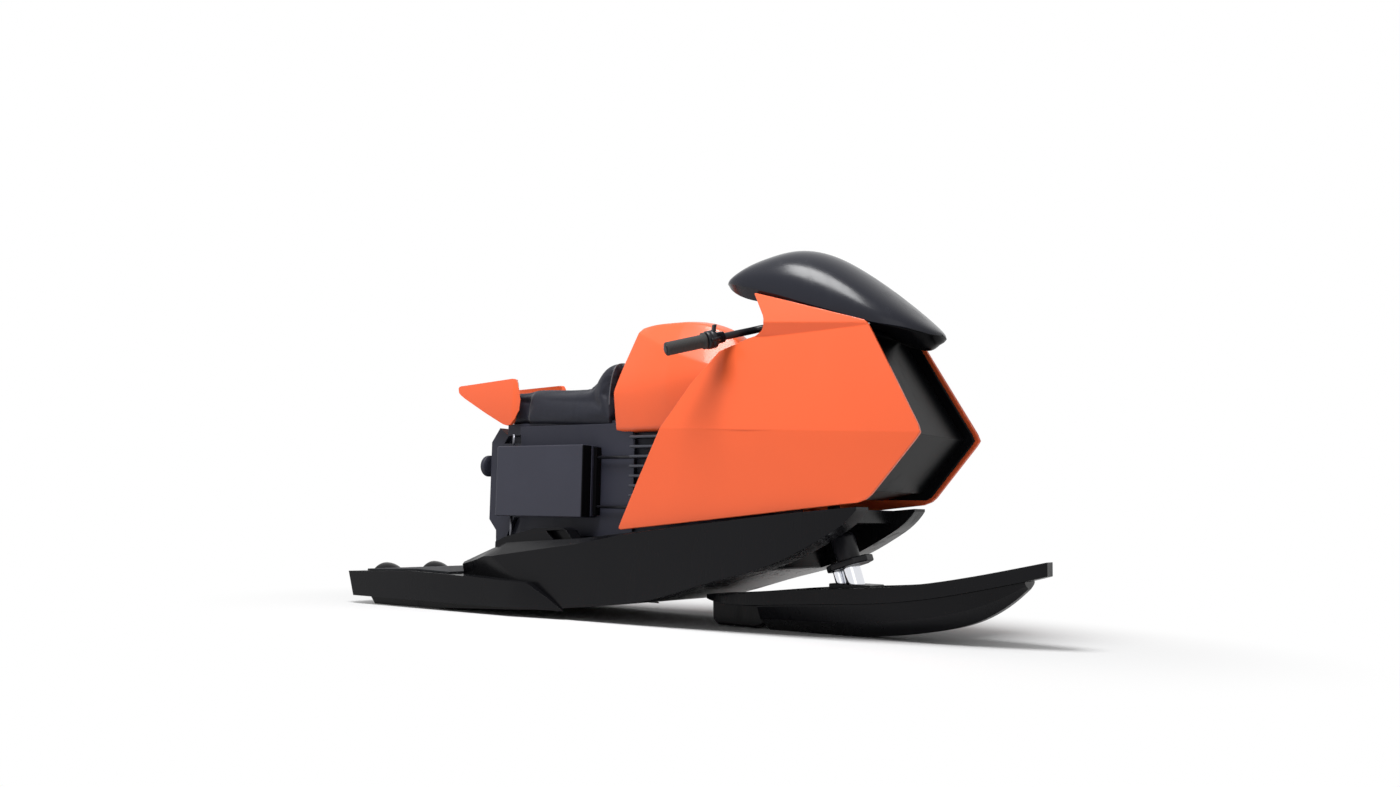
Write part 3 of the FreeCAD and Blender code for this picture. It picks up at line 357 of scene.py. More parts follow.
def make_handling_group():
    """Handling marks: broad soft patches with faint fine streaks, as a mask from 0 to 1."""
    group, gin, gout = node_group(
        "Handling Marks",
        [("Patch Scale", "NodeSocketFloat", 3.0), ("Streak Scale", "NodeSocketFloat", 40.0),
         ("Low", "NodeSocketFloat", 0.45), ("High", "NodeSocketFloat", 0.75)],
        [("Mask", "NodeSocketFloat")])
    coord = add_node(group, "ShaderNodeTexCoord")
    stretch = add_node(group, "ShaderNodeMapping", in_Scale=(1.0, 1.0, 0.12))
    patch = add_node(group, "ShaderNodeTexNoise", in_Detail=4.0)
    streak = add_node(group, "ShaderNodeTexNoise", in_Detail=2.0)
    mul = add_node(group, "ShaderNodeMath", operation="MULTIPLY")
    band = add_node(group, "ShaderNodeMapRange", interpolation_type="SMOOTHSTEP")
    gain = add_node(group, "ShaderNodeMath", operation="MULTIPLY", in_1=1.9)
    join(group, (coord, "Object", patch, "Vector"), (coord, "Object", stretch, "Vector"),
         (stretch, 0, streak, "Vector"), (gin, "Patch Scale", patch, "Scale"),
         (gin, "Streak Scale", streak, "Scale"), (patch, 0, mul, 0), (streak, 0, mul, 1),
         (mul, 0, gain, 0), (gain, 0, band, "Value"), (gin, "Low", band, "From Min"),
         (gin, "High", band, "From Max"), (band, 0, gout, "Mask"))
    return group


def make_cell_group():
    """Leather-like cells: distance to the nearest cell edge, on the object's own coordinates."""
    group, gin, gout = node_group(
        "Soft Cells", [("Scale", "NodeSocketFloat", 700.0)],
        [("Height", "NodeSocketFloat"), ("Mask", "NodeSocketFloat")])
    coord = add_node(group, "ShaderNodeTexCoord")
    cells = add_node(group, "ShaderNodeTexVoronoi", feature="DISTANCE_TO_EDGE")
    soft = add_node(group, "ShaderNodeMapRange", interpolation_type="SMOOTHSTEP")
    soft.inputs["From Max"].default_value = 0.25
    broad = add_node(group, "ShaderNodeTexNoise", in_Scale=14.0, in_Detail=3.0)
    join(group, (coord, "Object", cells, "Vector"), (coord, "Object", broad, "Vector"),
         (gin, "Scale", cells, "Scale"), (cells, 0, soft, "Value"), (soft, 0, gout, "Height"),
         (broad, 0, gout, "Mask"))
    return group


def shared_group(name, maker):
    """The named group, made the first time it is asked for."""
    return bpy.data.node_groups.get(name) or maker()


def finish(name, color, roughness, metallic=0.0, specular=0.5, coat=0.0, coat_roughness=0.08,
           grain=(500.0, 60.0, 0.3), bump=0.0, bump_distance=0.0003, vary=0.12, rough_vary=0.08,
           marks=(2.6, 30.0, 0.5, 0.85), cells=None, sheen=0.0):
    """Material: base colour that drifts a little, roughness lifted by handling marks, and a fine bump."""
    found = bpy.data.materials.get(name)
    if found:
        return found
    material = bpy.data.materials.new(name)
    material.use_nodes = True
    tree = material.node_tree
    shader = tree.nodes["Principled BSDF"]
    shader.inputs["Metallic"].default_value = metallic
    shader.inputs["Specular IOR Level"].default_value = specular
    shader.inputs["Coat Weight"].default_value = coat
    shader.inputs["Coat Roughness"].default_value = coat_roughness
    if sheen:
        shader.inputs["Sheen Weight"].default_value = sheen
        shader.inputs["Sheen Roughness"].default_value = 0.4
    grain_node = add_node(tree, "ShaderNodeGroup", node_tree=shared_group("Fine Grain", make_grain_group))
    for label, value in zip(("Scale", "Coarse", "Mix"), grain):
        grain_node.inputs[label].default_value = value
    mark_node = add_node(tree, "ShaderNodeGroup",
                         node_tree=shared_group("Handling Marks", make_handling_group))
    for label, value in zip(("Patch Scale", "Streak Scale", "Low", "High"), marks):
        mark_node.inputs[label].default_value = value
    drift = add_node(tree, "ShaderNodeMix", data_type="RGBA")
    drift.inputs[6].default_value = tuple(c * (1 - vary) for c in color) + (1.0,)
    drift.inputs[7].default_value = tuple(min(1.0, c * (1 + vary) + 0.002 * vary) for c in color) + (1.0,)
    join(tree, (grain_node, "Mask", drift, 0), (drift, 2, shader, "Base Color"))
    rough = add_node(tree, "ShaderNodeMapRange")
    rough.inputs["To Min"].default_value = roughness
    rough.inputs["To Max"].default_value = min(1.0, roughness + rough_vary)
    join(tree, (mark_node, "Mask", rough, "Value"), (rough, 0, shader, "Roughness"))
    if bump:
        height = grain_node.outputs["Height"]
        if cells:
            cell_node = add_node(tree, "ShaderNodeGroup",
                                 node_tree=shared_group("Soft Cells", make_cell_group))
            cell_node.inputs["Scale"].default_value = cells
            height = cell_node.outputs["Height"]
        relief = add_node(tree, "ShaderNodeBump", in_Strength=bump, in_Distance=bump_distance)
        tree.links.new(height, relief.inputs["Height"])
        join(tree, (relief, 0, shader, "Normal"))
    return material


def orange_paint():
    v = bpy.context.scene.craft_paint
    return finish("orange_paint", v.orange, 0.36, specular=0.30, coat=0.22, coat_roughness=0.10,
                  grain=(900.0, 5.0, 0.2), bump=0.04, bump_distance=0.0002, vary=0.03, rough_vary=0.06)


def hull_gloss():
    v = bpy.context.scene.craft_paint
    return finish("hull_gloss_black", v.hull_black, v.gloss, specular=0.13, grain=(700.0, 4.0, 0.3),
                  bump=0.03, bump_distance=0.0002, vary=0.15, rough_vary=0.12)


def screen_gloss():
    return finish("screen_gloss_black", (0.010, 0.011, 0.018), 0.22, specular=0.26,
                  grain=(700.0, 4.0, 0.3), bump=0.02, vary=0.1, rough_vary=0.08)


def infill_gloss():
    return finish("infill_gloss_black", (0.0035, 0.0035, 0.0042), 0.30, specular=0.06,
                  grain=(700.0, 4.0, 0.3), bump=0.02, vary=0.1, rough_vary=0.1)


def body_satin():
    v = bpy.context.scene.craft_paint
    return finish("body_satin_grey", v.body_grey, 0.46, specular=0.25, grain=(1100.0, 8.0, 0.2),
                  bump=0.18, bump_distance=0.0003, vary=0.12, rough_vary=0.1)


def case_satin():
    v = bpy.context.scene.craft_paint
    color = tuple(c * 1.12 for c in v.body_grey)
    return finish("case_satin_grey", color, 0.38, specular=0.30, grain=(1300.0, 8.0, 0.2),
                  bump=0.14, bump_distance=0.0003, vary=0.1, rough_vary=0.1)


def seat_cover():
    v = bpy.context.scene.craft_paint
    return finish("seat_cover_black", v.seat_black, 0.50, specular=0.25, cells=520.0, bump=0.22,
                  bump_distance=0.0005, vary=0.2, rough_vary=0.12, sheen=0.06)


def piping_vinyl():
    return finish("piping_vinyl", (0.075, 0.078, 0.090), 0.42, specular=0.4, grain=(900.0, 20.0, 0.3),
                  bump=0.05, vary=0.1)


def mat_rubber():
    return finish("mat_rubber", (0.020, 0.021, 0.024), 0.72, specular=0.3, grain=(1500.0, 30.0, 0.3),
                  bump=0.45, bump_distance=0.0006, vary=0.2)


def grip_rubber():
    return finish("grip_rubber", (0.010, 0.010, 0.012), 0.58, specular=0.25, grain=(1800.0, 90.0, 0.3),
                  bump=0.4, bump_distance=0.0004, vary=0.2)


def black_metal():
    return finish("black_coated_metal", (0.010, 0.010, 0.013), 0.32, specular=0.25,
                  grain=(1400.0, 40.0, 0.3), bump=0.12, bump_distance=0.0002, vary=0.15)


def polished_steel():
    return finish("polished_steel", (0.085, 0.085, 0.105), 0.26, metallic=1.0, grain=(900.0, 20.0, 0.2),
                  bump=0.02, vary=0.06, rough_vary=0.1)


def brushed_steel():
    return finish("brushed_steel", (0.16, 0.16, 0.18), 0.38, metallic=1.0, grain=(1200.0, 60.0, 0.3),
                  bump=0.08, vary=0.1)


def fin_alloy():
    return finish("fin_alloy_dark", (0.040, 0.042, 0.055), 0.40, metallic=0.3,
                  grain=(1200.0, 30.0, 0.3), bump=0.1, vary=0.12)


# Painted panels

# Corners of the fairing's skin per station: X, then half width and height of the foot, the main
# crease, the valley under the ridge, the ridge, and the top
FAIR_SKIN = np.array([
    (-120, 206, 260, 213, 612, 186, 862, 180.5, 911, 130, 1060),
    (405, 211, 260, 218.7, 592, 166, 866, 157, 911, 133, 1060),
    (455, 211, 260, 218.5, 590, 165, 868, 178, 910, 132, 1060),
    (800, 208, 260, 211, 576, 162, 880, 163, 887, 126, 1060),
    (1000, 193, 260, 199, 569, 147, 850, 146.5, 856, 110, 1060)], float)
# Facets in side view, as outlines of X and Z: under the crease, main, wedge and rim
FAIR_REAR = [(360, 852), (326, 842), (298, 831), (208, 735), (109, 602)]
FAIR_CREASE = [(109, 602), (430, 591), (800, 576), (969, 571)]
FAIR_FACETS = (
    [(-49, 293), (-42, 289.5), (-28, 291), (180, 313), (399, 337), (786, 381.5), (812, 391), (828, 404),
     (957, 555)] + FAIR_CREASE[::-1] + [(25, 444), (-47, 302)],
    FAIR_CREASE + [(961, 592), (794.5, 880), (455, 868), (397.5, 867)] + FAIR_REAR[:-1],
    [(397.5, 867), (455, 868), (794.5, 880), (790, 887), (455.8, 910), (455, 904), (444, 889), (420, 876)],
    [(455.8, 910), (790, 887), (782, 893), (410, 1004), (401, 1006), (402, 1000), (448, 930), (455, 916)])
FAIR_FRONT = [(812, 396), (828, 404), (957, 555), (969, 571), (961, 592), (794.5, 880), (788, 890)]
FAIR_CUTS = (250, 520, 640, 740, 870)
LINER_DEPTH = (9, 170)


def panel_width(x, z, rounding=0.001):
    """Half width of the fairing: flat facets joined by smooth ramps, each bending the slope at a crease.

    y = y0 + s0 (z - z0) + sum over creases of (change of slope) (t + sqrt(t^2 + r^2)) / 2, t = z - crease.
    """
    table = [np.interp(x, FAIR_SKIN[:, 0], FAIR_SKIN[:, k]) for k in range(1, 11)]
    y, h = table[0::2], table[1::2]
    slope = [(y[k + 1] - y[k]) / (h[k + 1] - h[k]) for k in range(len(y) - 1)]
    width = y[0] + slope[0] * (z - h[0])
    for k in range(1, len(slope)):
        t = z - h[k]
        width = width + (slope[k] - slope[k - 1]) * (t + np.sqrt(t * t + rounding ** 2)) / 2
    return width


def faceted_panel(name, sign):
    """Facets joined edge to edge, cut into strips and then set to their half widths."""
    points = sorted({tuple(map(float, p)) for outline in FAIR_FACETS for p in outline})
    spot = {p: i for i, p in enumerate(points)}
    faces = [[spot[tuple(map(float, p))] for p in outline][::int(sign)] for outline in FAIR_FACETS]
    piece = mesh_object(name, [(x, 0, z) for x, z in points], faces)
    bm = bmesh.new()
    bm.from_mesh(piece.data)
    for cut in FAIR_CUTS:
        bmesh.ops.bisect_plane(bm, geom=bm.verts[:] + bm.edges[:] + bm.faces[:], dist=1e-6,
                               plane_co=(cut * MM, 0, 0), plane_no=(1, 0, 0))
    bm.to_mesh(piece.data)
    bm.free()
    flat = np.zeros(len(piece.data.vertices) * 3)
    piece.data.vertices.foreach_get("co", flat)
    co = flat.reshape(-1, 3)
    co[:, 1] = sign * MM * panel_width(co[:, 0] / MM, co[:, 2] / MM)
    piece.data.vertices.foreach_set("co", co.ravel())
    piece.data.update()
    piece.data.polygons.foreach_set("use_smooth", np.ones(len(piece.data.polygons), bool))
    return piece


def liner_surface(gap):
    """Inside of a fairing behind its front edge: the edge's points moved back and in by the gap."""
    edge = chain(FAIR_FRONT, 70)
    back = np.linspace(*LINER_DEPTH, 20)[None]
    x, z = edge[:, :1] - back, edge[:, 1:] + 0 * back
    return np.stack([x, panel_width(x, z, 6.0) - gap, z], axis=-1)


class CRAFT_OT_fairings(Operator):
    """Side fairings: one faceted skin per side with rounded edges, dark inside its front edge."""

    bl_idname = "craft.fairings"
    bl_label = "Side Fairings"

    def execute(self, context):
        v = context.scene.craft_panels
        for side, sign in SIDES:
            piece = faceted_panel("fairing_panel_" + side, sign)
            add_modifier(piece, "SOLIDIFY", thickness=v.thickness, offset=-1.0, use_even_offset=True)
            bevel(piece, v.rim, 4, 6)
            place(piece, "hull", "orange_gloss", orange_paint(), "fairing_" + side)
            pts = liner_surface(v.thickness / MM + 0.5) * (1, sign, 1)
            liner = mesh_object("fairing_liner_" + side, pts, grid_faces(*pts.shape[:2])[:, ::int(sign)])
            add_modifier(liner, "SOLIDIFY", thickness=0.002, offset=-1.0, use_even_offset=False)
            place(liner, "hull", "infill_gloss", infill_gloss())
        return {"FINISHED"}


# Tank cowl, rings from the slanted rear face forward; each row is X, half width and height of the foot,
# waist, shoulder, falling crease, top edge and crown
TANK_RINGS = np.array([
    [(-165, 104, 604), (-170, 120, 735), (-150, 103, 806), (-106, 71, 936), (-98, 54, 951), (-92, 0, 962)],
    [(-84, 115, 604), (-84, 131, 738), (-76, 114, 812), (-52, 88, 912), (-50, 62, 958), (-50, 0, 971)],
    [(0, 118, 604), (0, 137, 742), (0, 121, 815), (5, 104, 886), (5, 62, 959), (5, 0, 972)],
    [(66, 119, 604), (66, 142, 748), (68, 131, 800), (72, 118, 856), (75, 62, 958), (75, 0, 971)],
    [(130, 119, 604), (130, 135, 750), (130, 128, 795), (128, 118, 834), (130, 60, 952), (130, 0, 967)],
    [(200, 117, 604), (200, 131, 746), (200, 125, 780), (198, 117, 811), (195, 56, 934), (195, 0, 950)],
    [(262, 115, 604), (262, 127, 744), (262, 118, 772), (262, 106, 799), (258, 48, 904), (258, 0, 918)],
    [(325, 111, 604), (325, 121, 738), (325, 108, 764), (325, 95, 788), (325, 44, 835), (325, 0, 846)]],
    float)
TANK_CREASES = (0.95, 0.15, 0.2, 0.8, 0.75, 0.0)
TANK_RING_CREASES = {0: 0.6, 3: 0.45, 7: 0.9}


def mirrored_rings(rings):
    """Whole rings from half ones: the port rows, then the starboard rows back, the crown used once."""
    other = rings[:, -2::-1] * (1, -1, 1)
    return np.concatenate([rings, other], axis=1)


def soft_cage(name, rings, creases, ring_creases, levels):
    """Closed cage round the rings, smoothed by subdivision; rows and rings hold their own sharpness."""
    whole = mirrored_rings(rings)
    count, rows = whole.shape[:2]
    half = rings.shape[1]
    faces = [list(f) for f in grid_faces(count, rows, wrap=True)]
    for ring in (0, count - 1):
        base = ring * rows
        faces += [[base + k, base + k + 1, base + rows - 2 - k, base + rows - 1 - k]
                  for k in range(half - 2)]
        faces.append([base + half - 2, base + half - 1, base + half])
    piece = weld(mesh_object(name, whole, faces))
    mesh = piece.data
    ends = np.zeros(len(mesh.edges) * 2, int)
    mesh.edges.foreach_get("vertices", ends)
    place_of = {tuple(np.round(p * MM, 6)): divmod(i, rows) for i, p in enumerate(whole.reshape(-1, 3))}
    spot = [place_of[tuple(round(c, 6) for c in v.co)] for v in mesh.vertices]
    row_sharp = list(creases) + list(creases[-2::-1])
    sharp = np.zeros(len(mesh.edges))
    for i, (a, b) in enumerate(ends.reshape(-1, 2)):
        (ra, ca), (rb, cb) = spot[a], spot[b]
        if ca == cb:
            sharp[i] = row_sharp[ca]
        elif ra == rb:
            sharp[i] = ring_creases.get(ra, 0.0)
    mesh.attributes.new("crease_edge", "FLOAT", "EDGE").data.foreach_set("value", sharp)
    add_modifier(piece, "SUBSURF", levels=levels, render_levels=levels)
    return piece


class CRAFT_OT_tank(Operator):
    """Tank cowl: a closed cage with a falling crease on each flank and a rounded, slanted rear end."""

    bl_idname = "craft.tank"
    bl_label = "Tank Cowl"

    def execute(self, context):
        piece = soft_cage("tank_cowl_panel", TANK_RINGS, TANK_CREASES, TANK_RING_CREASES, 4)
        place(piece, "hull", "orange_gloss", orange_paint(), "tank_cowl")
        return {"FINISHED"}


WING_LOW = [(-904, 777), (-899, 765), (-887, 756), (-866, 744), (-740, 683), (-668, 650), (-650, 642)]
WING_FRONT = [(-650, 642), (-628, 637), (-610, 643), (-594, 660), (-582, 690), (-580, 728), (-586, 765),
              (-592, 788)]
WING_TOP = [(-901, 788), (-892, 790), (-860, 791), (-618, 802), (-602, 800), (-592, 788)]
WING_TIP = [(-904, 777), (-905, 783), (-901, 788)]


def wing_surface():
    """Grid of a tail wing: a patch in side view, bulged across its height and turned in at its front.

    y = 140 + 0.079 (x + 560) - a ((z - 700) / 100)^2 - 26 s^2, where a is 8 below and 8.5 above z = 700,
    and s rises from 0 to 1 over the front return.
    """
    side = coons(chain(WING_LOW, 64), chain(WING_FRONT, 36), chain(WING_TOP, 64), chain(WING_TIP, 36))
    x, z = side[..., 0], side[..., 1]
    t = (z - 700) / 100
    bulge = np.where(t < 0, 8.0, 8.5) * t * t
    turn = np.clip((x + 606) / 33, 0, 1) ** 2
    return np.stack([x, 140 + 0.079 * (x + 560) - bulge - 26 * turn, z], axis=-1)


class CRAFT_OT_wings(Operator):
    """Tail wings: thick plates with rounded edges and a turned-in front."""

    bl_idname = "craft.wings"
    bl_label = "Tail Wings"

    def execute(self, context):
        pts = wing_surface()
        for side, sign in SIDES:
            piece = mesh_object("tail_wing_panel_" + side, pts * (1, sign, 1),
                                grid_faces(*pts.shape[:2])[:, ::int(-sign)])
            weld(piece, 0.0002, outward=False)
            add_modifier(piece, "SOLIDIFY", thickness=0.014, offset=-1.0, use_even_offset=False)
            bevel(piece, 0.005, 4, 55)
            place(piece, "hull", "orange_gloss", orange_paint(), "tail_wing_" + side)
        return {"FINISHED"}


# Screen per station: X, half width, height of the fold and of the crown, and how far the lip under the
# fold turns in and drops
SCREEN_SKIN = np.array([
    (267, 97, 1056, 1072, 8, 5), (282, 116, 1055, 1085, 14, 16), (335, 142, 1042, 1121, 22, 34),
    (400, 151, 1023, 1143, 24, 36), (480, 156, 998, 1154, 20, 26), (570, 158, 966, 1137, 6, 8),
    (680, 155, 929, 1079, 2, 2), (790, 144, 893, 999, 2, 2), (870, 112, 877, 932, 2, 2),
    (920, 66, 863, 887, 2, 2), (938, 30, 858, 870, 1, 1), (942, 2, 861, 864, 0, 0)], float)


def screen_surface():
    """Screen by section: a flattened half ellipse over the two folds, and a lip that turns in below them.

    y = w cos a, z = z_fold + (z_crown - z_fold) sin(a)^0.8; the lip runs straight in and down from the fold.
    """
    step = np.linalg.norm(np.diff(SCREEN_SKIN[:, [0, 1, 3]], axis=0), axis=1)
    mark = np.concatenate([[0.0], np.cumsum(step)])
    x, w, zf, zc, lip, drop = smooth_curve(np.column_stack([mark, SCREEN_SKIN]),
                                           np.linspace(0, mark[-1], 120)).T[..., None]
    a = np.linspace(0, np.pi, 71)[None]
    arch = np.stack(np.broadcast_arrays(x, w * np.cos(a), zf + (zc - zf) * np.sin(a) ** 0.8), axis=-1)
    s = np.array([1.0, 0.66, 0.33, 0.08])[None]
    near = np.stack(np.broadcast_arrays(x, w - lip * s, zf - drop * s), axis=-1)
    return np.concatenate([near, arch, (near * (1, -1, 1))[:, ::-1]], axis=1)


class CRAFT_OT_screen(Operator):
    """Domed screen: one thin shell with folded lower edges, open below and behind."""

    bl_idname = "craft.screen"
    bl_label = "Domed Screen"

    def execute(self, context):
        pts = screen_surface()
        piece = mesh_object("domed_screen", pts, grid_faces(*pts.shape[:2]))
        weld(piece, 0.0001)
        add_modifier(piece, "SOLIDIFY", thickness=context.scene.craft_panels.screen_skin, offset=-1.0)
        bevel(piece, 0.0022, 3, 60)
        place(piece, "hull", "screen_gloss", screen_gloss(), "screen")
        return {"FINISHED"}


# Underside of the screen's nose: X, half width, height at the fold and sag at the middle
CHIN = np.array([
    (742, 131, 868, 0), (760, 132, 884, 8), (790, 133, 891, 26), (840, 120, 883, 46), (880, 98, 873, 48),
    (905, 74, 866, 40), (925, 52, 862, 24), (937, 27, 859, 8), (940, 8, 861, 1)], float)


def chin_surface():
    """Underside of the nose: z = edge - sag (1 - v^2) across the width, v running from -1 to 1."""
    x = np.linspace(CHIN[0, 0], CHIN[-1, 0], 64)
    w, z, sag = smooth_curve(CHIN, x).T[..., None]
    v = np.linspace(-1, 1, 41)[None]
    return np.stack(np.broadcast_arrays(x[:, None], w * v, z - sag * (1 - v * v)), axis=-1)


class CRAFT_OT_infill(Operator):
    """Glossy panel between the fairings and the nose's underside above it."""

    bl_idname = "craft.infill"
    bl_label = "Front Infill"

    def execute(self, context):
        piece = dressed_copy("front_infill", "front_infill_panel", 0.004, 3, 20.0)
        place(piece, "hull", "infill_gloss", infill_gloss(), "front_infill")
        pts = chin_surface()
        chin = weld(mesh_object("nose_underside", pts, grid_faces(*pts.shape[:2])[:, ::-1]), outward=False)
        add_modifier(chin, "SOLIDIFY", thickness=0.003, offset=-1.0, use_even_offset=False)
        place(chin, "hull", "infill_gloss", infill_gloss())
        return {"FINISHED"}


# Hull

GUARD_LINE = [(-597, 210), (-249, 240), (-249, 250), (-282, 284), (-300, 290), (-422, 285), (-555, 254),
              (-597, 237)]
GUARD_POCKET = [(-368, 279), (-290, 284), (-252, 250), (-326, 240)]
GUARD_INSIDE, GUARD_FLOOR, GUARD_OUTSIDE = 150, 176, 203
SHOULDER_ROWS = [(-800.0, 124.0), (-632.0, 121.4), (-380.0, 112.4), (-300.0, 69.0)]
SHOULDER_FAR = 420


def shoulder_cutter(sign):
    """What the hull's side loses above the stern tray, outside of a leaning plane.

    The plane is y = 250 + 0.158 (x + 563) + 0.2662 (z - 191); the cutter runs out and up to SHOULDER_FAR.
    """
    far, rings = SHOULDER_FAR, []
    for x, low in SHOULDER_ROWS:
        y = [250 + 0.158 * (x + 563) + 0.2662 * (z - 191) for z in (low, far)]
        rings.append([(x, sign * out, z)
                      for out, z in ((y[0], low), (y[1], far), (far, far), (far, low))])
    faces = [list(f) for f in grid_faces(len(rings), 4, wrap=True)] + [[0, 1, 2, 3], [15, 14, 13, 12]]
    return weld(mesh_object("shoulder", rings, faces))


class CRAFT_OT_hull(Operator):
    """Forked hull, stern tray, mat, foot guards, pumps and grates."""

    bl_idname = "craft.hull"
    bl_label = "Hull and Stern"

    def execute(self, context):
        shoulders = [shoulder_cutter(sign) for _, sign in SIDES]
        shell = dressed_copy("hull", "hull_shell", 0.004, 3, 24.0, shoulders)
        place(shell, "hull", "hull_gloss", hull_gloss(), "hull")
        tray = dressed_copy("rear_platform", "stern_tray", 0.005, 3, 24.0)
        place(tray, "hull", "hull_gloss", hull_gloss(), "rear_platform")
        for side, sign in SIDES:
            guard = prism("foot_guard_shell_" + side, GUARD_LINE, sign * GUARD_INSIDE, sign * GUARD_OUTSIDE)
            pocket = prism("pocket", GUARD_POCKET, sign * GUARD_FLOOR, sign * (GUARD_OUTSIDE + 12))
            add_modifier(guard, "BOOLEAN", operation="DIFFERENCE", solver="EXACT", object=pocket)
            settle(guard)
            bpy.data.objects.remove(pocket)
            place(bevel(guard, 0.005, 3, 24), "hull", "hull_gloss", hull_gloss(), "foot_guard_" + side)
        mat = dressed_copy("traction_mat", "stern_mat", 0.0012, 2, 30.0)
        place(mat, "hull", "mat_foam", mat_rubber(), "traction_mat")
        for side, _ in SIDES:
            paint_node("pump_housing_" + side, fin_alloy())
            paint_node("impeller_" + side, brushed_steel())
        paint_node("intake_grates", black_metal())
        paint_node("drive_motors", brushed_steel())
        return {"FINISHED"}


# Body

def block(name, low, high, width, segments=3):
    """Box between two corners in millimetres with rounded edges."""
    (x0, y0, z0), (x1, y1, z1) = low, high
    corners = [(x, y, z) for z in (z0, z1) for y in (y0, y1) for x in (x0, x1)]
    faces = [(0, 2, 3, 1), (4, 5, 7, 6), (0, 1, 5, 4), (2, 6, 7, 3), (0, 4, 6, 2), (1, 3, 7, 5)]
    piece = mesh_object(name, corners, faces)
    weld(piece)
    return bevel(piece, width, segments, 30)


def prism(name, outline, y0, y1):
    """Side outline in millimetres carried across from y0 to y1."""
    ring = np.asarray(outline, float)
    n = len(ring)
    pts = np.concatenate([np.insert(ring, 1, y0, axis=1), np.insert(ring, 1, y1, axis=1)])
    faces = [list(range(n)), list(range(2 * n - 1, n - 1, -1))]
    faces += [[k, (k + 1) % n, n + (k + 1) % n, n + k] for k in range(n)]
    return weld(mesh_object(name, pts, faces))


RECESS_UP = [(-646, 634), (-690, 578), (-590, 578), (-624, 634)]
RECESS_LOW = [(-628, 320), (-590, 320), (-640, 226), (-676, 226)]
RECESS_FLOOR, RECESS_OUT = 60, 95
# Half width of the core where the side pieces stand on it
CORE_SIDE = 82.3
# Plates at the front of the side case: X from and to, half width, Z from and to. The front plate and the core
# block are near black as painted shade over the case's shaded front faces; the lip keeps the case's grey.
CASE_PLATES = (("case_front_painted_shade", -250.5, -246, 168.5, 326, 561), ("case_lip", -243, -239.5, 131, 328, 560),
               ("case_core_painted_shade", -246, -228, 122, 332, 556))
PANEL_STATIONS = (-590, -350, -92)
PANEL_SECTION = ((CORE_SIDE, 262), (96, 262), (96, 540), (107.5, 634), (CORE_SIDE, 634))
FIN_COUNT, FIN_LOW, FIN_PITCH, FIN_THICK = 9, 330, 31.5, 9
# Level bars: height and front end; slim rods: Z from and to
BAR_START, BAR_BEND, BAR_SIDE, BAR_RADIUS = -258, -100, 112, 5.0
BAR_LEVELS = ((522, -30), (360, -60))
ROD_X, ROD_SIDE, ROD_RADIUS = -600, 126, 4.6
ROD_SPANS = ((222, 326), (561, 606))


class CRAFT_OT_body(Operator):
    """Dark body core with its recesses, side cases, panels, rails, rods, fins and charging cover."""

    bl_idname = "craft.body"
    bl_label = "Body and Cases"

    def execute(self, context):
        cutters = [prism("recess", outline, sign * RECESS_FLOOR, sign * RECESS_OUT)
                   for _, sign in SIDES for outline in (RECESS_UP, RECESS_LOW)]
        core = dressed_copy("body_core", "body_shell", 0.005, 3, 20.0, cutters)
        place(core, "hull", "dark_satin", body_satin(), "body_core")
        for side, sign in SIDES:
            self.side_pieces(side, sign)
        cap = dressed_copy("charge_cap", "charge_cover", 0.003, 4, 30.0)
        place(cap, "hull", "dark_satin", body_satin(), "charge_cap")
        base = block("seat_pan", (-662, -94, 604), (-172, 94, 645), 0.003, 3)
        place(base, "hull", "dark_satin", body_satin(), "seat_base")
        paint_node("steering_head", black_metal())
        paint_node("lower_bush", black_metal())
        return {"FINISHED"}

    def side_pieces(self, side, sign):
        """Case with its front plates, two of them near black as painted shade, mid panel, fins, level bars
        and slim rods of one side.
        """
        inner = sign * CORE_SIDE
        case = block("side_case_" + side, (-636, inner, 324), (-249, sign * 170, 563), 0.0045, 4)
        place(case, "hull", "case_satin", case_satin(), "battery_case_" + side)
        for name, x0, x1, out, z0, z1 in CASE_PLATES:
            plate = block("%s_%s" % (name, side), (x0, inner, z0), (x1, sign * out, z1), 0.001, 2)
            # Painted shade: the front plate and core block take the near-black infill finish where the case's
            # front faces lie in shade; the lip is case grey.
            place(plate, "hull", "case_satin", case_satin() if name == "case_lip" else infill_gloss())
        rings = [[(x, sign * y, z) for y, z in PANEL_SECTION] for x in PANEL_STATIONS]
        faces = [list(f) for f in grid_faces(3, 5, wrap=True)] + [[0, 1, 2, 3, 4], [14, 13, 12, 11, 10]]
        panel = bevel(weld(mesh_object("mid_panel_" + side, rings, faces)), 0.002, 3, 30)
        place(panel, "hull", "dark_satin", body_satin())
        edge = block("mid_panel_edge_" + side, (-91.5, inner, 318), (-88.5, sign * 99, 600), 0.0012, 2)
        place(edge, "hull", "case_satin", case_satin())
        for k in range(FIN_COUNT):
            z = FIN_LOW + k * FIN_PITCH
            top = z + FIN_THICK
            fin = block("cooling_fin_%s_%d" % (side, k), (-86, inner, z), (110, sign * 130, top), 0.003)
            place(fin, "hull", "alloy", fin_alloy(), *(["cooling_fins_" + side] if k == 0 else []))
        for k, (z, front) in enumerate(BAR_LEVELS):
            line = [(x, sign * BAR_SIDE, z) for x in (BAR_START, BAR_BEND, front)]
            bar = sweep("level_bar_%s_%d" % (side, k), line, BAR_RADIUS, 16)
            place(bar, "hull", "black_metal", black_metal(), *(["side_rails_" + side] if k == 0 else []))
        for k, (z0, z1) in enumerate(ROD_SPANS):
            line = [(ROD_X, sign * ROD_SIDE, z) for z in (z0, (z0 + z1) / 2, z1)]
            rod = sweep("slim_rod_%s_%d" % (side, k), line, ROD_RADIUS, 16)
            place(rod, "hull", "steel", brushed_steel())


# Seat

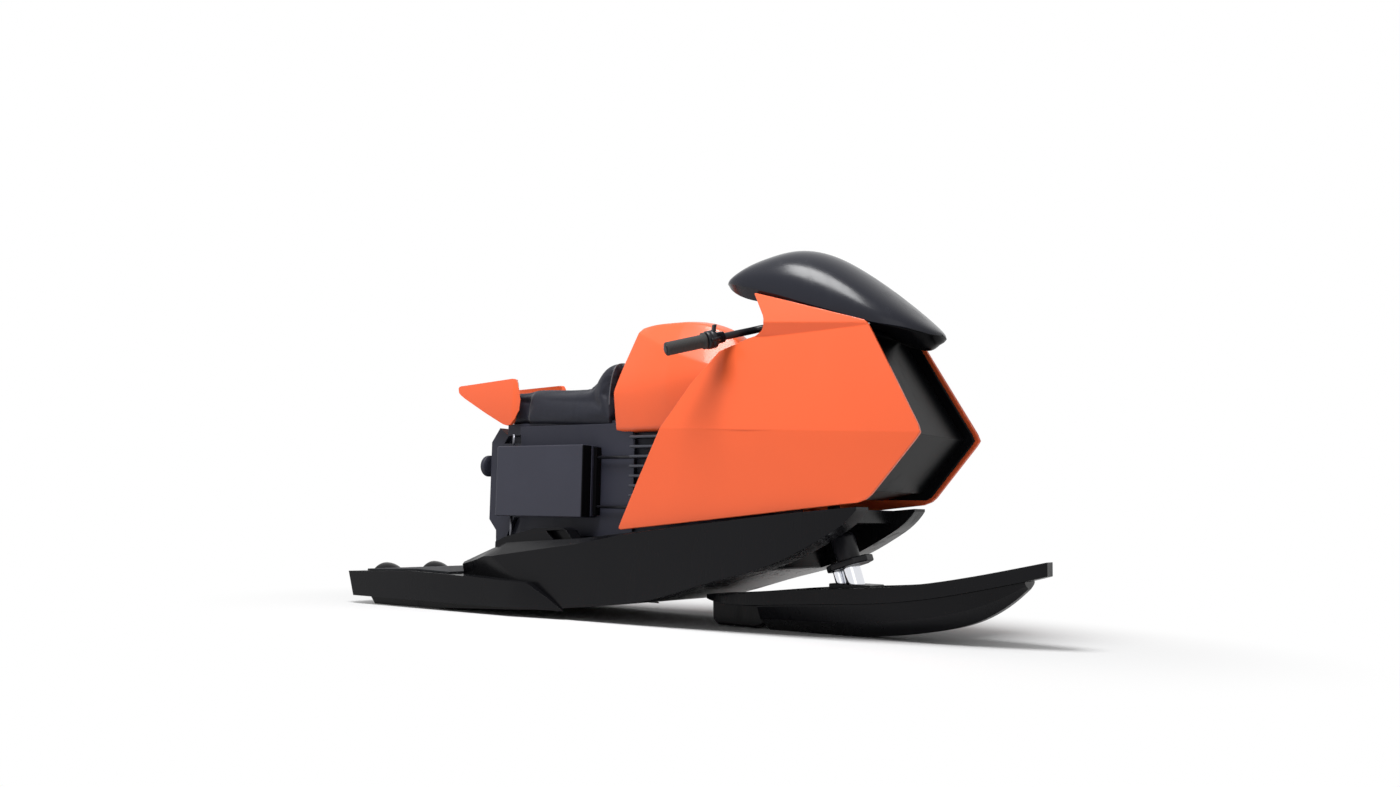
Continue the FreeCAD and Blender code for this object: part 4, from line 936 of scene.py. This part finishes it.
SEAT_TOP = np.array([(-672, 738), (-664, 750), (-640, 755), (-578, 757.5), (-430, 757), (-310, 757),
                     (-270, 773), (-238, 818), (-214, 840), (-196, 847), (-176, 848)], float)
SEAT_FRONT = np.array([(640, -183), (735, -184), (800, -172), (836, -168)], float)
SEAT_REAR, SEAT_LENGTH, SEAT_HALF = -670, 490, 118
# Filling of the seat: grid of the remesh, height below which the cover is held, in metres, and frames
SEAT_VOXEL, SEAT_HELD, SEAT_FRAMES = 0.005, 0.652, 20
SEAT_CLOTH = {"quality": 5, "mass": 0.15, "tension_stiffness": 22.0, "compression_stiffness": 22.0,
              "shear_stiffness": 12.0, "bending_stiffness": 1.2, "use_pressure": True,
              "uniform_pressure_force": 4.0}


def seat_surface(inset):
    """Seat as rings along its length: each a flat-bottomed loop with rounded shoulders.

    With c = cos a and s = sin a, y = w sign(c) |c|^p and z = middle + half height sign(s) |s|^q; small powers
    square the loop off. The rear third is narrower below, where the wings stand beside it.
    """
    u = np.concatenate([[0.0], (1 - np.cos(np.linspace(0, np.pi, 70))) / 2, [1.0]])[:, None]
    a = np.linspace(0, 2 * np.pi, 96, endpoint=False)[None]
    x = SEAT_REAR + inset + u * (SEAT_LENGTH - 2 * inset)
    top = smooth_curve(SEAT_TOP, x.ravel())[:, 0][:, None] - inset
    low = 641.5 - 20 * np.clip((x + 560) / 380, 0, 1) + inset * 0.5
    c, s = np.cos(a), np.sin(a)
    close = np.ones_like(u)
    close[0] = close[-1] = 0.0
    half = (SEAT_HALF - inset) * close
    y = half * np.sign(c) * np.abs(c) ** np.where(s > 0, 0.34, 0.22)
    z = (top + low) / 2 + close * (top - low) / 2 * np.sign(s) * np.abs(s) ** np.where(s > 0, 0.42, 0.25)
    rear = np.clip((-548 - x) / 26, 0, 1)
    under = np.clip((742 - z) / 14, 0, 1)
    y = y * (1 - 0.2 * (3 * rear ** 2 - 2 * rear ** 3) * under) * (1 - 0.11 * rear)
    shift = np.interp(z, SEAT_FRONT[:, 0], SEAT_FRONT[:, 1]) + 180
    x = x + shift * np.clip((x + 300) / 120, 0, 1)
    return np.stack(np.broadcast_arrays(x, y, z), axis=-1)


class CRAFT_OT_seat(Operator):
    """Padded seat: a slightly smaller form, remeshed and filled by a short cloth simulation, with piping."""

    bl_idname = "craft.seat"
    bl_label = "Padded Seat"

    def execute(self, context):
        v = context.scene.craft_soft
        pts = seat_surface(v.seat_inset / MM)
        piece = weld(mesh_object("seat_cushion", pts, grid_faces(*pts.shape[:2], wrap=True)), 0.0004)
        self.fill(context, piece, v.seat_swell)
        place(piece, "hull", "seat_cover", seat_cover(), "seat_pad")
        self.piping()
        return {"FINISHED"}

    def fill(self, context, piece, swell):
        """Voxel remesh, then cloth with inner pressure for 20 frames; no point moves past the swell."""
        add_modifier(piece, "REMESH", mode="VOXEL", voxel_size=SEAT_VOXEL, use_smooth_shade=True)
        settle(piece)
        mesh = piece.data
        count = len(mesh.vertices)
        rest = np.zeros(count * 3)
        mesh.vertices.foreach_get("co", rest)
        rest = rest.reshape(-1, 3)
        held = piece.vertex_groups.new(name="held")
        held.add([int(i) for i in np.nonzero(rest[:, 2] < SEAT_HELD)[0]], 1.0, "REPLACE")
        cloth = piece.modifiers.new("Cloth", "CLOTH")
        for key, value in SEAT_CLOTH.items():
            setattr(cloth.settings, key, value)
        cloth.settings.vertex_group_mass = "held"
        cloth.settings.effector_weights.gravity = 0.0
        cloth.collision_settings.use_collision = False
        cloth.point_cache.frame_start = 1
        cloth.point_cache.frame_end = SEAT_FRAMES
        for frame_number in range(1, SEAT_FRAMES + 1):
            context.scene.frame_set(frame_number)
        moved = np.zeros(count * 3)
        graph = context.evaluated_depsgraph_get()
        shaped = piece.evaluated_get(graph).to_mesh()
        shaped.vertices.foreach_get("co", moved)
        piece.evaluated_get(graph).to_mesh_clear()
        piece.modifiers.clear()
        piece.vertex_groups.clear()
        step = moved.reshape(-1, 3) - rest
        length = np.linalg.norm(step, axis=1)[:, None]
        if not np.isfinite(length).all() or length.max() < 1e-6:
            raise RuntimeError("the seat's filling did not run")
        step *= np.minimum(1.0, swell / np.maximum(length, 1e-9))
        mesh.vertices.foreach_set("co", (rest + step).ravel())
        mesh.update()
        context.scene.frame_set(1)
        add_modifier(piece, "SMOOTH", factor=0.5, iterations=3)
        add_modifier(piece, "SUBSURF", levels=1, render_levels=1)
        settle(piece)
        piece.data.polygons.foreach_set("use_smooth", np.ones(len(piece.data.polygons), bool))

    def piping(self):
        """Thin cord sewn round the seat's front end: a rounded arch that follows the slant."""
        a = np.linspace(-0.16, np.pi + 0.16, 120)
        y = (SEAT_HALF + 0.5) * np.sign(np.cos(a)) * np.abs(np.cos(a)) ** 0.36
        z = np.maximum(739 + 97 * np.sign(np.sin(a)) * np.abs(np.sin(a)) ** 0.42, 645)
        x = np.interp(z, SEAT_FRONT[:, 0], SEAT_FRONT[:, 1]) + 1.5
        cord = sweep("seat_piping", np.stack([x, y, z], axis=1), 2.4, 10)
        place(cord, "hull", "seat_cover", piping_vinyl())


# Steering

BAR_PATH = np.array([(350, 0, 880), (350, 26, 880), (386, 46, 886), (414, 76, 902), (410, 98, 908),
                     (388, 110, 905), (367, 143, 893), (298, 252, 856), (229, 362, 823)], float)
BAR_END = np.array((229.0, 362.0, 823.0))
BAR_ELBOW = np.array((388.0, 110.0, 905.0))
# Turned pieces of an arm, as distance from its end and radius
PLUG_PROFILE = [(-3.0, 8), (-2.4, 12.5), (-0.8, 15.0), (1.0, 15.3)]
SWITCH_PROFILE = [(131, 20), (132, 25.5), (134, 27.5), (145, 28), (146.2, 26.6), (147.4, 28), (160, 27.5),
                  (163, 25), (164, 18.5), (190, 17), (193, 13)]
# Tab on the switch block: ahead, up and along the arm; lever: ahead and back, then its radii
TAB_CORNERS = ((2, 20, -6), (20, 20, -6), (22, 42, -4), (5, 44, -4))
LEVER_LINE = ((14, 0), (22, 4), (30, 10), (36, 18), (39, 27), (40, 36))
LEVER_RADII = ((0, 7), (0.2, 6), (0.9, 5), (1, 6.5))


def bar_path():
    """Half of the bar: a smooth curve through the bend, straight along the arm."""
    knots = BAR_PATH.copy()
    arm = BAR_ELBOW - BAR_END
    along = np.array([0.86, 0.43, 0.0])[:, None]
    knots[6:] = BAR_END + along * arm
    mark = np.concatenate([[0.0], np.cumsum(np.linalg.norm(np.diff(knots, axis=0), axis=1))])
    return smooth_curve(np.column_stack([mark, knots]), np.linspace(0, mark[-1], 90))


def arm_place(distance):
    """Point on the port arm, measured inward from its end, and the arm's direction."""
    way = (BAR_ELBOW - BAR_END) / np.linalg.norm(BAR_ELBOW - BAR_END)
    return BAR_END + way * distance, way


def arm_axis(sign):
    """End and inward direction of the arm on one side, for pieces turned about it."""
    at, way = arm_place(0)
    return at * (1, sign, 1), way * (1, sign, 1)


class CRAFT_OT_steering(Operator):
    """Column, strut, bar, grips and switch blocks."""

    bl_idname = "craft.steering"
    bl_label = "Column and Bar"

    def execute(self, context):
        for node, name, width in (("column_yoke", "column_yoke_shell", 0.003),
                                  ("clamp_plate", "clamp_plate_shell", 0.004),
                                  ("bar_clamp", "bar_stem", 0.003)):
            piece = dressed_copy(node, name, width, 3, 30.0)
            place(piece, "steering", "black_metal", black_metal(), node)
        half = bar_path()
        path = np.concatenate([(half * (1, -1, 1))[::-1], half[1:]])
        bar = sweep("bent_bar", path, 11.0, 28)
        place(bar, "steering", "black_metal", black_metal(), "handlebar")
        paint_node("steering_shaft", black_metal())
        paint_node("strut_tubes", polished_steel())
        for side, sign in SIDES:
            self.arm_pieces(side, sign, context.scene.craft_soft.grip_ribs)
        return {"FINISHED"}

    def arm_pieces(self, side, sign, ribs):
        """Grip with fine ribs, end plug, switch block with its tab, and short lever of one arm.

        Along the grip the radius is 20.2 + 0.4 sin(phase), the phase rising evenly to 1.8 pi times the ribs.
        """
        centre, axis = arm_axis(sign)
        wave = 20.2 + 0.4 * np.sin(np.linspace(0, 1.8 * ribs * np.pi, 116))
        t = np.concatenate([[0, 1.5], np.linspace(3, 118, 116), [119, 121, 127, 129]])
        r = np.concatenate([[17.0, 19.6], wave, [20.6, 25.0, 25.0, 22.5]])
        grip = lathe("ribbed_grip_" + side, list(zip(t, r)), centre, axis)
        place(grip, "steering", "grip_rubber", grip_rubber(), "grip_" + side)
        plug = lathe("bar_plug_" + side, PLUG_PROFILE, centre, axis, 36)
        place(plug, "steering", "black_metal", black_metal())
        housing = lathe("switch_block_" + side, SWITCH_PROFILE, centre, axis, 44)
        place(housing, "steering", "black_metal", black_metal(), "control_" + side)
        at, way = arm_place(152)
        ahead = np.cross((0.0, 0.0, 1.0), way)
        ahead *= np.sign(ahead[0]) / np.linalg.norm(ahead)
        up = np.array((0.0, 0.0, 1.0))
        pts = np.array([at + ahead * f + up * h + way * (d + thick)
                        for thick in (0, 11) for f, h, d in TAB_CORNERS]) * (1, sign, 1)
        faces = [(0, 1, 2, 3), (7, 6, 5, 4), (0, 4, 5, 1), (1, 5, 6, 2), (2, 6, 7, 3), (3, 7, 4, 0)]
        tab = bevel(weld(mesh_object("switch_tab_" + side, pts, faces)), 0.003, 3, 30)
        place(tab, "steering", "black_metal", black_metal())
        start = at + way * 20
        line = np.array([start + ahead * f - way * b for f, b in LEVER_LINE])
        mark = np.linspace(0, 1, len(line))
        steps = np.linspace(0, 1, 40)
        path = smooth_curve(np.column_stack([mark, line]), steps) - up * 4
        radius = np.interp(steps, *zip(*LEVER_RADII))
        lever = sweep("bar_lever_" + side, path * (1, sign, 1), radius, 16, squash=0.8)
        place(lever, "steering", "black_metal", black_metal())


class CRAFT_OT_ski(Operator):
    """Front ski: deck plank, blade, skeg and saddle."""

    bl_idname = "craft.ski"
    bl_label = "Front Ski"

    def execute(self, context):
        for node, name, width, angle in (("ski_deck", "ski_deck_shell", 0.004, 24.0),
                                         ("ski_hull", "ski_blade_shell", 0.008, 14.0),
                                         ("ski_fin", "ski_skeg", 0.006, 24.0)):
            piece = dressed_copy(node, name, width, 3, angle)
            place(piece, "steering", "hull_gloss", hull_gloss(), node)
        saddle = dressed_copy("ski_saddle", "ski_saddle_block", 0.003, 3, 24.0)
        place(saddle, "steering", "black_metal", black_metal(), "ski_saddle")
        return {"FINISHED"}


# Studio

CAMERA_PLACE = (2.3315, -3.1595, 0.3431)
CAMERA_AZIMUTH, CAMERA_PITCH, CAMERA_ROLL = 35.2462, 5.7282, 1.0778
CAMERA_SENSOR = 36.0
CAMERA_LENS = CAMERA_SENSOR * 1200.0 / 1400.0
# Where the floor starts and ends its fade to white, in metres, and how its round form is squashed
FADE_FROM, FADE_TO = 0.62, 1.5
FADE_SQUASH = (0.72, 1.25, 1.0)
FLOOR_HALF = 30000.0


def add_camera():
    """Camera at the photograph's viewing angle: heading, pitch and roll give its three axes."""
    az, pitch, roll = (math.radians(a) for a in (CAMERA_AZIMUTH, CAMERA_PITCH, CAMERA_ROLL))
    ahead = Vector((-math.sin(az) * math.cos(pitch), math.cos(az) * math.cos(pitch), math.sin(pitch)))
    right = Vector((math.cos(az), math.sin(az), 0.0))
    up = right.cross(ahead)
    side = right * math.cos(roll) + up * math.sin(roll)
    top = up * math.cos(roll) - right * math.sin(roll)
    data = bpy.data.cameras.new("studio_camera")
    data.lens = CAMERA_LENS
    data.sensor_width = CAMERA_SENSOR
    data.clip_end = 200.0
    camera = bpy.data.objects.new("studio_camera", data)
    rotation = Matrix((side, top, -ahead)).transposed()
    camera.matrix_world = Matrix.Translation(CAMERA_PLACE) @ rotation.to_4x4()
    bpy.context.scene.collection.objects.link(camera)
    bpy.context.scene.camera = camera


def add_lamp(name, place_at, aim, size, power):
    """Soft square lamp that faces a point."""
    data = bpy.data.lights.new(name, "AREA")
    data.energy = power
    data.size = size
    lamp = bpy.data.objects.new(name, data)
    spot = Vector(place_at)
    turn = (Vector(aim) - spot).to_track_quat("-Z", "Y").to_matrix().to_4x4()
    lamp.matrix_world = Matrix.Translation(spot) @ turn
    bpy.context.scene.collection.objects.link(lamp)


def add_world(strength):
    """White room: full white for what the camera and reflections see, softer on matt surfaces."""
    world = bpy.data.worlds.new("studio_world")
    bpy.context.scene.world = world
    world.use_nodes = True
    tree = world.node_tree
    background = tree.nodes["Background"]
    background.inputs["Color"].default_value = (1.0, 1.0, 1.0, 1.0)
    level = add_node(tree, "ShaderNodeMapRange")
    level.inputs["To Min"].default_value = strength
    level.inputs["To Max"].default_value = 1.0
    tree.links.new(seen_by_eye(tree), level.inputs["Value"])
    join(tree, (level, 0, background, "Strength"))


def seen_by_eye(tree):
    """1 for rays of the camera, of reflections and through glass, 0 for the ones that only carry light."""
    path = add_node(tree, "ShaderNodeLightPath")
    first = add_node(tree, "ShaderNodeMath", operation="MAXIMUM")
    both = add_node(tree, "ShaderNodeMath", operation="MAXIMUM")
    join(tree, (path, "Is Camera Ray", first, 0), (path, "Is Glossy Ray", first, 1), (first, 0, both, 0),
         (path, "Is Transmission Ray", both, 1))
    return both.outputs[0]


def floor_paint():
    """Pale floor that keeps the shadow near the craft and fades to plain white farther out.

    The share of white is a smooth ramp over the distance from the middle, for rays that see the floor.
    """
    paint = bpy.data.materials.new("studio_floor")
    paint.use_nodes = True
    tree = paint.node_tree
    shader = tree.nodes["Principled BSDF"]
    shader.inputs["Base Color"].default_value = (0.96, 0.96, 0.965, 1.0)
    shader.inputs["Roughness"].default_value = 0.9
    shader.inputs["Specular IOR Level"].default_value = 0.05
    coord = add_node(tree, "ShaderNodeTexCoord")
    squash = add_node(tree, "ShaderNodeMapping", in_Scale=FADE_SQUASH)
    far = add_node(tree, "ShaderNodeVectorMath", operation="LENGTH")
    ramp = add_node(tree, "ShaderNodeMapRange", interpolation_type="SMOOTHSTEP")
    ramp.inputs["From Min"].default_value, ramp.inputs["From Max"].default_value = FADE_FROM, FADE_TO
    share = add_node(tree, "ShaderNodeMath", operation="MULTIPLY")
    white = add_node(tree, "ShaderNodeEmission", in_Color=(1.0, 1.0, 1.0, 1.0), in_Strength=1.0)
    mix = add_node(tree, "ShaderNodeMixShader")
    join(tree, (coord, "Object", squash, "Vector"), (squash, 0, far, 0), (far, "Value", ramp, "Value"),
         (ramp, 0, share, 0))
    tree.links.new(seen_by_eye(tree), share.inputs[1])
    join(tree, (share, 0, mix, 0), (shader, 0, mix, 1), (white, 0, mix, 2),
         (mix, 0, tree.nodes["Material Output"], "Surface"))
    return paint


class CRAFT_OT_studio(Operator):
    """Camera, pale floor and soft lamps."""

    bl_idname = "craft.studio"
    bl_label = "Studio"

    def execute(self, context):
        v = context.scene.craft_studio
        scene = context.scene
        scene.view_settings.view_transform = "Standard"
        add_camera()
        add_world(v.world)
        add_lamp("overhead_lamp", (0.0, -1.7, 4.0), (0, 0, 0.4), 1.7, v.key)
        add_lamp("near_lamp", (2.6, -3.6, 2.0), (0, 0, 0.6), 2.2, v.fill)
        corners = [(x * FLOOR_HALF, y * FLOOR_HALF, 0) for x, y in ((-1, -1), (1, -1), (1, 1), (-1, 1))]
        floor = mesh_object("studio_floor", corners, [(0, 1, 2, 3)], smooth=False)
        floor.data.materials.append(floor_paint())
        return {"FINISHED"}


# Panel, registration and the run

OPERATORS = (CRAFT_OT_fairings, CRAFT_OT_tank, CRAFT_OT_wings, CRAFT_OT_screen, CRAFT_OT_infill,
             CRAFT_OT_hull, CRAFT_OT_body, CRAFT_OT_seat, CRAFT_OT_steering, CRAFT_OT_ski,
             CRAFT_OT_studio)
GROUPS = (("craft_paint", PaintValues), ("craft_panels", PanelValues), ("craft_soft", SoftValues),
          ("craft_studio", StudioValues))


class CRAFT_PT_sidebar(Panel):
    """Lists the values and the steps."""

    bl_label = "Watercraft"
    bl_idname = "CRAFT_PT_sidebar"
    bl_space_type = "VIEW_3D"
    bl_region_type = "UI"
    bl_category = "Watercraft"

    def draw(self, context):
        layout = self.layout
        for name, group in GROUPS:
            box = layout.box()
            for key in group.__annotations__:
                box.prop(getattr(context.scene, name), key)
        for operator in OPERATORS:
            layout.operator(operator.bl_idname)


def register():
    for cls in [g for _, g in GROUPS] + list(OPERATORS) + [CRAFT_PT_sidebar]:
        bpy.utils.register_class(cls)
    for name, group in GROUPS:
        setattr(bpy.types.Scene, name, PointerProperty(type=group))


def unregister():
    for name, _ in GROUPS:
        delattr(bpy.types.Scene, name)
    for cls in [CRAFT_PT_sidebar] + list(OPERATORS)[::-1] + [g for _, g in GROUPS]:
        bpy.utils.unregister_class(cls)


def main():
    register()
    for operator in OPERATORS:
        group, step = operator.bl_idname.split(".")
        if getattr(getattr(bpy.ops, group), step)() != {"FINISHED"}:
            raise RuntimeError(operator.bl_idname + " did not finish")


if __name__ == "__main__":
    main()
